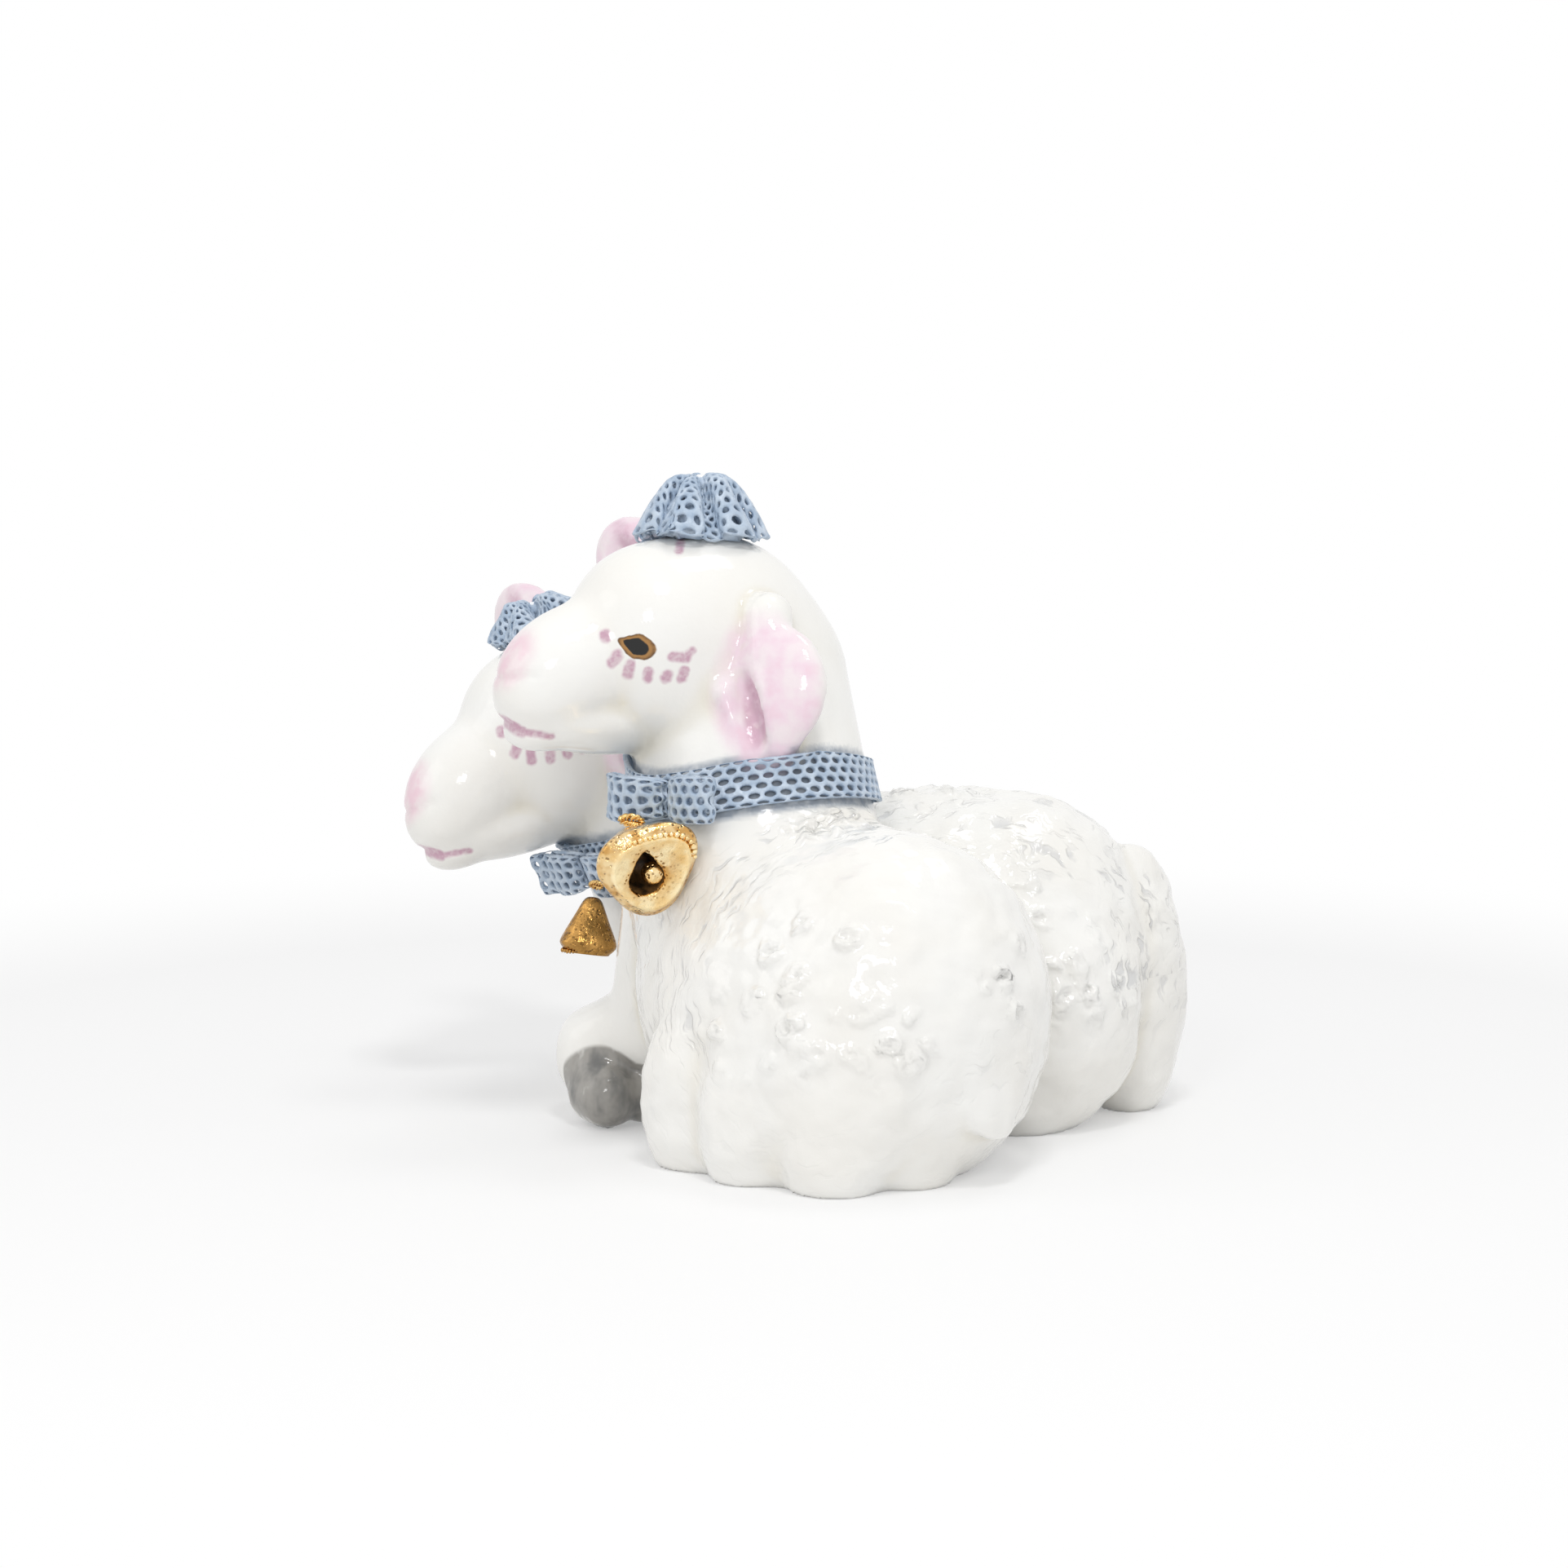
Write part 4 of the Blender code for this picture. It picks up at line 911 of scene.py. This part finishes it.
def mixed(nodes, share, low, high):
    inputs = {"Factor": share, "A": low, "B": high}
    node = nodes.tree.nodes.new("ShaderNodeMix")
    node.data_type = "RGBA"
    for key, value in inputs.items():
        socket = next(s for s in node.inputs if s.name == key and (key == "Factor" and s.type == "VALUE" or s.type == "RGBA"))
        if isinstance(value, bpy.types.NodeSocket):
            nodes.tree.links.new(value, socket)
        else:
            socket.default_value = value if key == "Factor" else (*value, 1.0)
    return next(s for s in node.outputs if s.type == "RGBA")


paint = {
    "mauve": (0.56, 0.33, 0.43), "pink": (0.83, 0.55, 0.65), "amber": (0.40, 0.20, 0.055), "umber": (0.10, 0.045, 0.015),
    "black": (0.003, 0.003, 0.003), "hoof": (0.36, 0.345, 0.32), "hoofDark": (0.17, 0.17, 0.165),
    "wash": (0.45, 0.46, 0.49), "laceShadow": (0.22, 0.27, 0.34), "laceShadowReach": 1.5, "hollowShadeCream": (0.78, 0.73, 0.61), "porcelain": (0.90, 0.895, 0.87),
    "porcelainWarm": (0.87, 0.855, 0.815),
    "earHollow": (0.60, 0.36, 0.47), "earLeaf": (0.85, 0.68, 0.76),
    "goldBright": (1.0, 0.86, 0.55), "gold": (0.90, 0.62, 0.27), "goldEdge": (0.62, 0.34, 0.10),
    "goldDeep": (0.55, 0.33, 0.11), "goldShade": (0.34, 0.18, 0.05), "goldPit": (0.24, 0.12, 0.035),
}


def buildFired():  # what every fired finish has: a tone that drifts, and a skin that isn't quite even
    tree = bpy.data.node_groups.new("firedUnevenness", "ShaderNodeTree")
    for label, kind in (("Place", "Vector"), ("Scale", "Float"), ("Low", "Color"), ("High", "Color"), ("Grain", "Float")):
        tree.interface.new_socket(label, in_out="INPUT", socket_type="NodeSocket" + kind)
    for label, kind in (("Tone", "Color"), ("Share", "Float"), ("Height", "Float")):
        tree.interface.new_socket(label, in_out="OUTPUT", socket_type="NodeSocket" + kind)
    nodes = Tree(tree)
    given = tree.nodes.new("NodeGroupInput").outputs
    share = nodes.ramp(nodes.noise(given["Place"], given["Scale"], 3.0), 0.3, 0.7)
    out = tree.nodes.new("NodeGroupOutput")
    tree.links.new(mixed(nodes, share, given["Low"], given["High"]), out.inputs["Tone"])
    tree.links.new(share, out.inputs["Share"])
    tree.links.new(nodes.noise(given["Place"], given["Grain"], 3.0, 0.55), out.inputs["Height"])
    return tree


firedTree = buildFired()


def fired(nodes, place, scale, low, high, grain):
    group = nodes.tree.nodes.new("ShaderNodeGroup")
    group.node_tree = firedTree
    nodes.tree.links.new(place, group.inputs["Place"])
    for key, value in (("Scale", scale), ("Low", (*low, 1.0)), ("High", (*high, 1.0)), ("Grain", grain)):
        group.inputs[key].default_value = value
    return group.outputs


def most(nodes, masks):
    total = masks[0]
    for mask in masks[1:]:
        total = nodes.math("MAXIMUM", total, mask)
    return total


def buildPorcelain():
    material, nodes, shader = newMaterial("glazedPorcelain", paint["porcelain"], 0.065)
    place = modelPlace(nodes)
    attribute = nodes.add("ShaderNodeAttribute", output="Fac", attribute_name="fleece")

    # the face is painted once, in the frame of whichever head is nearer, and mirrored from side to side
    heads = [skullFrame(frontLamb), skullFrame(rearLamb)]
    locals_ = [nodes.inFrame(place, spot) for spot in heads]
    gaps = [nodes.vector("DISTANCE", place, tuple(spot @ Vector((10, 0, -4)))) for spot in heads]
    isRear = nodes.math("GREATER_THAN", *gaps)
    chosen = nodes.tree.nodes.new("ShaderNodeMix")
    chosen.data_type = "VECTOR"
    nodes.tree.links.new(isRear, chosen.inputs[0])
    nodes.tree.links.new(locals_[0], chosen.inputs[4])
    nodes.tree.links.new(locals_[1], chosen.inputs[5])
    facePlace = chosen.outputs[1]
    nearHead = nodes.ramp(nodes.math("MINIMUM", *gaps), 21.0, 24.0, 1.0, 0.0)
    brush = nodes.vector("SUBTRACT", nodes.noise(place, 0.6, 2.0, output="Color"), (0.5, 0.5, 0.5))
    brush = nodes.add("ShaderNodeVectorMath", {0: brush, "Scale": 0.6}, operation="SCALE")
    muzzle = nodes.vector("ADD", sideOn(nodes, facePlace), brush)
    back, up = face["rearShift"]
    moved = nodes.add("ShaderNodeVectorMath", {0: (back, 0, up), "Scale": isRear}, operation="SCALE")
    side = nodes.vector("SUBTRACT", muzzle, moved)
    strokes = face["lashes"] + face["sweep"] + [face["crown"]]
    mauve = [dab(nodes, side, *stroke) for stroke in strokes] + [dab(nodes, muzzle, *stroke) for stroke in face["mouth"]]
    mauve = nodes.math("MULTIPLY", most(nodes, mauve), nodes.ramp(nodes.noise(place, 1.3, 2.0), 0.3, 0.65, 0.6, 0.95))
    eyeShare = ovalShare(nodes, side, face["eye"])
    eye = nodes.ramp(eyeShare, 0.95, 1.06, 1.0, 0.0)
    lid = nodes.math("MULTIPLY", nodes.ramp(eyeShare, 0.72, 0.98), nodes.ramp(nodes.noise(place, 1.6, 2.0), 0.3, 0.6, 0.35, 0.9))
    pupil = nodes.ramp(ovalShare(nodes, side, face["pupil"]), 0.93, 1.07, 1.0, 0.0)
    away = nodes.vector("SUBTRACT", facePlace, face["nose"]["at"])
    noseShare = nodes.vector("LENGTH", nodes.vector("DIVIDE", away, face["nose"]["radii"]))
    nose = nodes.math("MULTIPLY", nodes.ramp(noseShare, 0.5, 1.25, 0.8, 0.0), nodes.ramp(nodes.noise(place, 0.45, 2.0), 0.3, 0.65, 0.5, 1.0))

    # ears: pale pink in the open face, stronger in blotches, nearly white at the rim; a darker mauve-pink in the
    # hollow, the ear's own paint there and partly painted shade of the pocket
    leaves, hollows = [], []
    for lamb in (frontLamb, rearLamb):
        for ear in lamb["ears"]:
            local = nodes.inFrame(place, skullFrame(lamb) @ earFrame(*ear))
            share = nodes.vector("LENGTH", nodes.vector("DIVIDE", nodes.vector("SUBTRACT", local, (9.8, 0, 1.6)), (11.6, 8.8, 4.8)))
            leaves.append(nodes.ramp(share, 0.72, 1.1, 1.0, 0.0))
            deep = nodes.vector("DIVIDE", nodes.vector("SUBTRACT", local, (12.0, -2.3, 1.0)), (6.6, 2.2, 3.0))
            hollows.append(nodes.ramp(nodes.vector("LENGTH", deep), 0.55, 1.0, 1.0, 0.0))
    blotch = nodes.noise(place, 0.34, 2.0)
    leaf = nodes.math("MULTIPLY", most(nodes, leaves), nodes.ramp(blotch, 0.3, 0.6, 0.55, 1.0))
    pink = nodes.math("MULTIPLY", most(nodes, leaves), nodes.ramp(blotch, 0.52, 0.72, 0.0, 0.42))
    # the hollow's darker mauve-pink: the ear's own paint, and partly painted shade of the pocket
    earHollow = nodes.math("MULTIPLY", most(nodes, hollows), nodes.ramp(nodes.noise(place, 0.7, 2.0), 0.3, 0.6, 0.35, 0.75))

    # hooves: grey, speckled, in the trunk's frame
    hooves = []
    for lamb in (frontLamb, rearLamb):
        for shape in (lamb["legs"][3], lamb["legs"][7]):
            spot = trunkFrame(lamb)
            start, end = spot @ Vector(shape["start"]), spot @ Vector(shape["end"])
            ahead = (start - end).normalized()
            away = nodes.vector("SUBTRACT", place, tuple(start + ahead * 3.2))
            behind = nodes.ramp(nodes.vector("DOT_PRODUCT", away, tuple(-ahead)), -0.3, 0.3)
            close = nodes.ramp(nodes.vector("DISTANCE", place, tuple((start + end) / 2)), 6.6, 7.4, 1.0, 0.0)
            hooves.append(nodes.math("MULTIPLY", behind, close))
    streak = nodes.noise(nodes.vector("MULTIPLY", place, (1.0, 1.0, 0.6)), 0.26, 3.0, 0.5)
    hoof = nodes.math("MULTIPLY", most(nodes, hooves), nodes.ramp(streak, 0.28, 0.42, 0.2, 1.0))
    hoofTone = mixed(nodes, nodes.ramp(streak, 0.42, 0.68), paint["hoof"], paint["hoofDark"])

    # combed wool: fine strokes that run round the middle of each lamb's side
    rear = nodes.add("ShaderNodeAttribute", output="Fac", attribute_name="rear")
    combs = []
    for lamb, hub in ((frontLamb, (-15, 19.4, 27)), (rearLamb, (-8, 20, 20))):
        local = nodes.inFrame(place, trunkFrame(lamb) @ Matrix.Translation(hub))
        x, z = nodes.axis(local, "X"), nodes.axis(local, "Z")
        radius = nodes.math("SQRT", nodes.math("ADD", nodes.math("MULTIPLY", x, x), nodes.math("MULTIPLY", z, z)))
        angle = nodes.math("ARCTAN2", z, x)
        wave = nodes.math("MULTIPLY", nodes.math("SUBTRACT", nodes.noise(local, 0.22, 2.0), 0.5), 5.0)
        combs.append((nodes.math("ADD", radius, wave), angle, radius, nodes.axis(local, "Y")))
    def either(index):
        picked = nodes.tree.nodes.new("ShaderNodeMix")
        nodes.tree.links.new(rear, picked.inputs[0])
        nodes.tree.links.new(combs[0][index], picked.inputs[2])
        nodes.tree.links.new(combs[1][index], picked.inputs[3])
        return picked.outputs[0]
    bent, angle, radius, deep = (either(i) for i in range(4))
    strands = nodes.add("ShaderNodeCombineXYZ", {
        "X": nodes.math("MULTIPLY", bent, 1.25), "Y": nodes.math("MULTIPLY", angle, 5.0), "Z": nodes.math("MULTIPLY", deep, 0.22),
    })
    strand = nodes.noise(strands, 1.0, 1.5, 0.5)
    groove = nodes.ramp(strand, 0.30, 0.44, 1.0, 0.0)
    patches = nodes.ramp(nodes.noise(place, 0.1, 2.0), 0.4, 0.58, 0.12, 1.0)
    combed = nodes.math("MULTIPLY", nodes.ramp(radius, 15.0, 21.0), attribute)
    combed = nodes.math("MULTIPLY", combed, nodes.ramp(nodes.axis(place, "Z"), 10.0, 22.0, 0.12, 1.0))
    groove = nodes.math("MULTIPLY", groove, combed)
    wash = nodes.math("MULTIPLY", groove, nodes.math("MULTIPLY", patches, 0.42))
    curls = nodes.math("MULTIPLY", curlRings(nodes, place), nodes.math("MULTIPLY", curlPatch(nodes, place), attribute))

    sunk = nodes.add("ShaderNodeAttribute", output="Fac", attribute_name="sunk")
    # painted shade: a darker cream in the hollows between the forms
    hollowShade = nodes.ramp(sunk, -0.03, 0.4, 0.0, 0.8)
    surface = fired(nodes, place, 0.07, paint["porcelain"], paint["porcelainWarm"], 0.9)
    tone = mixed(nodes, hollowShade, surface["Tone"], paint["hollowShadeCream"])
    eyeTone = mixed(nodes, lid, paint["amber"], paint["umber"])
    # painted shadow of the collars on the body, in blue-grey
    laceShadow = nodes.add("ShaderNodeAttribute", output="Fac", attribute_name="laceShadow")
    laceShadow = nodes.math("MULTIPLY", laceShadow, nodes.ramp(nodes.noise(place, 0.6, 2.0), 0.3, 0.6, 0.55, 0.8))
    for mask, colour in ((wash, paint["wash"]), (laceShadow, paint["laceShadow"]), (leaf, paint["earLeaf"]), (pink, paint["pink"]), (earHollow, paint["earHollow"]), (nodes.math("MULTIPLY", nose, nearHead), paint["pink"]),
                         (nodes.math("MULTIPLY", mauve, nearHead), paint["mauve"]), (hoof, hoofTone),
                         (nodes.math("MULTIPLY", eye, nearHead), eyeTone),
                         (nodes.math("MULTIPLY", pupil, nearHead), paint["black"])):
        tone = mixed(nodes, mask, tone, colour)
    linkTo(nodes, tone, shader, "Base Color")

    height = nodes.math("MULTIPLY", surface["Height"], 0.05)
    height = nodes.math("MULTIPLY_ADD", groove, -0.22, height)
    height = nodes.math("MULTIPLY_ADD", nodes.math("MULTIPLY", strand, combed), 0.3, height)
    height = nodes.math("MULTIPLY_ADD", curls, 0.3, height)
    bump = nodes.add("ShaderNodeBump", {"Height": height, "Strength": 0.7, "Distance": 0.001})
    linkTo(nodes, bump, shader, "Normal")
    return material


def buildLaceFinish():
    material, nodes, shader = newMaterial("laceBlue", (0.42, 0.52, 0.64), 0.3)
    surface = fired(nodes, modelPlace(nodes), 0.5, (0.37, 0.47, 0.60), (0.55, 0.64, 0.75), 3.0)
    linkTo(nodes, surface["Tone"], shader, "Base Color")
    linkTo(nodes, nodes.ramp(surface["Share"], 0.0, 1.0, 0.38, 0.24), shader, "Roughness")
    bump = nodes.add("ShaderNodeBump", {"Height": surface["Height"], "Strength": 0.35, "Distance": 0.0004})
    linkTo(nodes, bump, shader, "Normal")
    return material


def buildGilding(name, colours, facts=None):  # with facts, the gold stops behind the bell's shoulder and leaves it white
    material, nodes, shader = newMaterial(name, colours[1], 0.14, metallic=1.0)
    place = modelPlace(nodes)
    surface = fired(nodes, place, 0.36, colours[0], colours[1], 0.9)
    tone = surface["Tone"]
    pits = nodes.add("ShaderNodeTexVoronoi", {"Vector": place, "Scale": 1.5}, "Distance")
    pitted = nodes.ramp(pits, 0.05, 0.4, 1.0, 0.0)
    if facts:
        local = nodes.inFrame(place, uprightFrame(facts["crown"], facts["mouth"], (0.3, -0.3, -0.9)))
        high = nodes.math("DIVIDE", nodes.axis(local, "Z"), facts["size"])
        bevel = nodes.math("MULTIPLY", nodes.ramp(high, 6.4, 7.0), nodes.ramp(high, 8.5, 8.85, 1.0, 0.0))
        pitted = nodes.math("MULTIPLY", pitted, nodes.math("MAXIMUM", bevel, 0.12))
        # painted shade: the bevel round the mouth plate is painted a darker brown gold, for its shade and dark
        # reflections
        bevelShade = nodes.math("MULTIPLY", bevel, nodes.ramp(nodes.noise(place, 0.5, 2.0), 0.35, 0.6, 0.95, 0.25))
        tone = mixed(nodes, bevelShade, tone, paint["goldEdge"])
        wobble = nodes.math("MULTIPLY", nodes.math("SUBTRACT", nodes.noise(place, 0.8, 2.0), 0.5), 1.6)
        gilt = nodes.ramp(nodes.math("ADD", high, wobble), 6.1, 6.4)
        gilt = nodes.math("MAXIMUM", gilt, nodes.ramp(nodes.axis(local, "X"), -2.0, -1.0, 1.0, 0.0))
    tone = mixed(nodes, nodes.math("MULTIPLY", pitted, 0.85), tone, paint["goldPit"])
    if facts:
        tone = mixed(nodes, gilt, paint["porcelain"], tone)
        linkTo(nodes, gilt, shader, "Metallic")
    linkTo(nodes, tone, shader, "Base Color")
    linkTo(nodes, nodes.ramp(surface["Share"], 0.0, 1.0, 0.26, 0.09), shader, "Roughness")
    height = nodes.math("SUBTRACT", nodes.math("MULTIPLY", surface["Height"], 0.7), nodes.math("MULTIPLY", pitted, 0.8))
    bump = nodes.add("ShaderNodeBump", {"Height": height, "Strength": 0.5, "Distance": 0.0006})
    linkTo(nodes, bump, shader, "Normal")
    return material


def buildDark():  # the inside of a bell, painted near black as painted shade
    material, nodes, shader = newMaterial("bellInsideShade", (0.035, 0.022, 0.012), 0.35)
    surface = fired(nodes, modelPlace(nodes), 0.7, (0.02, 0.013, 0.008), (0.20, 0.105, 0.035), 1.6)
    linkTo(nodes, surface["Tone"], shader, "Base Color")
    bump = nodes.add("ShaderNodeBump", {"Height": surface["Height"], "Strength": 0.4, "Distance": 0.0005})
    linkTo(nodes, bump, shader, "Normal")
    return material


def buildWhiteDot():  # a glossy white drop on the top of the gathers
    material, nodes, shader = newMaterial("whiteDot", (0.9, 0.9, 0.9), 0.06)
    surface = fired(nodes, modelPlace(nodes), 0.8, (0.84, 0.86, 0.9), (0.94, 0.94, 0.95), 1.2)
    linkTo(nodes, surface["Tone"], shader, "Base Color")
    bump = nodes.add("ShaderNodeBump", {"Height": surface["Height"], "Strength": 0.2, "Distance": 0.0003})
    linkTo(nodes, bump, shader, "Normal")
    return material


porcelain = buildPorcelain()
laceBlue = buildLaceFinish()
gilding = buildGilding("burnishedGold", (paint["goldDeep"], paint["gold"]))
nearGilding = buildGilding("burnishedGoldOnWhite", (paint["gold"], paint["goldBright"]), bells["near"])
ballGilding = buildGilding("brightGold", (paint["gold"], paint["goldBright"]))
# painted shade: the far bell's gold is a darker copy of the gilding
shadedFarGilding = buildGilding("shadedGold", (paint["goldEdge"], paint["goldShade"]))
bellInsideShade = buildDark()
whiteDot = buildWhiteDot()
print("finishes made")

pieces = []


def finished(piece, node):
    piece.data.transform(figureFrame)
    for v in piece.data.vertices:  # the last tenth of a millimetre of relief stays inside the part's own box
        v.co = [min(max(value, low), high) for value, low, high in zip(v.co, *cadBox)]
    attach(piece, "root")
    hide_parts(node)
    pieces.append(piece)


def shadeUnderLace(mesh, laces):  # painted shadow: the body is painted blue-grey under each collar, strongest nearest the lace
    laceShadow = mesh.attributes.new("laceShadow", "FLOAT", "POINT")
    nets = [skinTree(lace.data) for lace in laces]
    for v, kept in zip(mesh.vertices, laceShadow.data):
        gaps = [net.find_nearest(v.co, paint["laceShadowReach"])[3] for net in nets]
        near = min([gap for gap in gaps if gap is not None], default=paint["laceShadowReach"])
        kept.value = min(1.0, 2.2 * (1 - near / paint["laceShadowReach"]))


lambs = newObject("lambs", bodyMesh)
laceCollars = {side: buildCollar(side + "LaceCollar", band, laceBlue) for side, band in collars.items()}
shadeUnderLace(bodyMesh, laceCollars.values())
bodyMesh.materials.clear()
bodyMesh.materials.append(porcelain)
bodyMesh.shade_smooth()
finished(lambs, "lambs_body")

for side, lamb, gold in (("near", frontLamb, nearGilding), ("far", rearLamb, shadedFarGilding)):
    band, facts = collars[side], bells[side]
    finished(laceCollars[side], side + "_collar")
    finished(buildBow(side + "LaceBow", band, laceBlue), side + "_bow")
    finished(buildRosette(side + "LaceRosette", lamb, rosettes[side], laceBlue, whiteDot), side + "_rosette")
    finished(buildBell(side + "GiltBell", facts, gold, bellInsideShade), side + "_bell")
    finished(buildBall(side + "GiltBall", facts, ballGilding), side + "_bell_clapper")
    finished(buildLoop(side + "GiltLoop", facts, band, gilding), side + "_bell_loop")
for piece in pieces:
    print(piece.name, "faces", len(piece.data.polygons))


# Table, light and camera
studio = {
    "sky": 0.665,  # the light of the white room
    "paper": 0.9, "lift": 0.34,  # the paper's own white, and how much whiter the camera sees it
    "fadeFrom": 0.10, "fadeTo": 0.24,  # metres from the lambs where the paper turns into plain white
}


def buildPaper():  # lit paper with the lambs' shadow, plain white further off
    material, nodes, shader = newMaterial("whitePaper", (studio["paper"],) * 3, 0.7)
    place = nodes.add("ShaderNodeTexCoord", output="Object")
    far = nodes.ramp(nodes.vector("LENGTH", place), studio["fadeFrom"], studio["fadeTo"])
    path = nodes.tree.nodes.new("ShaderNodeLightPath")
    seen = nodes.math("MAXIMUM", path.outputs["Is Camera Ray"], path.outputs["Is Transmission Ray"])
    seen = nodes.math("MAXIMUM", seen, path.outputs["Is Glossy Ray"])
    white = nodes.tree.nodes.new("ShaderNodeEmission")
    share = nodes.math("MULTIPLY", seen, nodes.math("MAXIMUM", far, studio["lift"]))
    mix = nodes.tree.nodes.new("ShaderNodeMixShader")
    nodes.tree.links.new(share, mix.inputs[0])
    nodes.tree.links.new(shader.outputs[0], mix.inputs[1])
    nodes.tree.links.new(white.outputs[0], mix.inputs[2])
    nodes.tree.links.new(mix.outputs[0], nodes.tree.nodes["Material Output"].inputs[0])
    return material


def buildFloor():
    bm = bmesh.new()
    bmesh.ops.create_grid(bm, x_segments=1, y_segments=1, size=3.0)
    mesh = bpy.data.meshes.new("floor")
    bm.to_mesh(mesh)
    bm.free()
    floor = newObject("floor", mesh)
    mesh.materials.append(buildPaper())
    return floor


def buildWorld():
    world = bpy.data.worlds.new("studio")
    bpy.context.scene.world = world
    world.use_nodes = True
    nodes = Tree(world.node_tree)
    light = world.node_tree.nodes["Background"]
    light.inputs["Color"].default_value = (1.0, 1.0, 1.0, 1.0)
    light.inputs["Strength"].default_value = studio["sky"]
    white = world.node_tree.nodes.new("ShaderNodeBackground")
    white.inputs["Color"].default_value = (1.0, 1.0, 1.0, 1.0)
    white.inputs["Strength"].default_value = 1.0
    path = world.node_tree.nodes.new("ShaderNodeLightPath")
    seen = nodes.math("MAXIMUM", path.outputs["Is Camera Ray"], path.outputs["Is Transmission Ray"])
    seen = nodes.math("MAXIMUM", seen, path.outputs["Is Glossy Ray"])
    mix = world.node_tree.nodes.new("ShaderNodeMixShader")
    world.node_tree.links.new(seen, mix.inputs[0])
    world.node_tree.links.new(light.outputs[0], mix.inputs[1])
    world.node_tree.links.new(white.outputs[0], mix.inputs[2])
    world.node_tree.links.new(mix.outputs[0], world.node_tree.nodes["World Output"].inputs[0])


def areaLight(name, place, aim, width, height, power):
    light = bpy.data.lights.new(name, "AREA")
    light.shape = "RECTANGLE"
    light.size, light.size_y, light.energy = width, height, power
    lamp = bpy.data.objects.new(name, light)
    bpy.context.scene.collection.objects.link(lamp)
    lamp.location = place
    lamp.rotation_euler = (Vector(aim) - Vector(place)).to_track_quat("-Z", "Y").to_euler()


view = {"target": (-0.0015, -0.0227, 0.050), "elevation": 8.0, "distance": 0.620, "lens": 36 * 5714 / 1923}


def buildCamera():
    data = bpy.data.cameras.new("camera")
    data.sensor_width = 36
    data.lens = view["lens"]
    data.clip_start, data.clip_end = 0.01, 20
    camera = bpy.data.objects.new("camera", data)
    bpy.context.scene.collection.objects.link(camera)
    tilt = math.radians(view["elevation"])
    back = Vector((0, -math.cos(tilt), math.sin(tilt)))
    camera.location = Vector(view["target"]) + back * view["distance"]
    camera.rotation_euler = (-back).to_track_quat("-Z", "Y").to_euler()
    bpy.context.scene.camera = camera


buildFloor()
buildWorld()
for pane, (across_, high_) in enumerate(((-1, -1), (1, -1), (-1, 1), (1, 1))):  # a window high up, and one lower beside the camera
    areaLight("window%d" % pane, (0.04 + 0.027 * across_, -0.26 - 0.03 * high_, 0.55), (0, 0, 0.04), 0.042, 0.046, 0.20)
    areaLight("lowWindow%d" % pane, (-0.10 + 0.03 * across_, -0.52, 0.33 + 0.035 * high_), (0, 0, 0.04), 0.046, 0.056, 0.10)
areaLight("fillLight", (-0.50, -0.10, 0.35), (0, 0, 0.04), 0.30, 0.30, 0.2)
areaLight("topLight", (0.15, 0.10, 0.62), (0, 0, 0.04), 0.20, 0.14, 0.38)
buildCamera()
bpy.context.scene.view_settings.view_transform = "Standard"

print("scene ready")
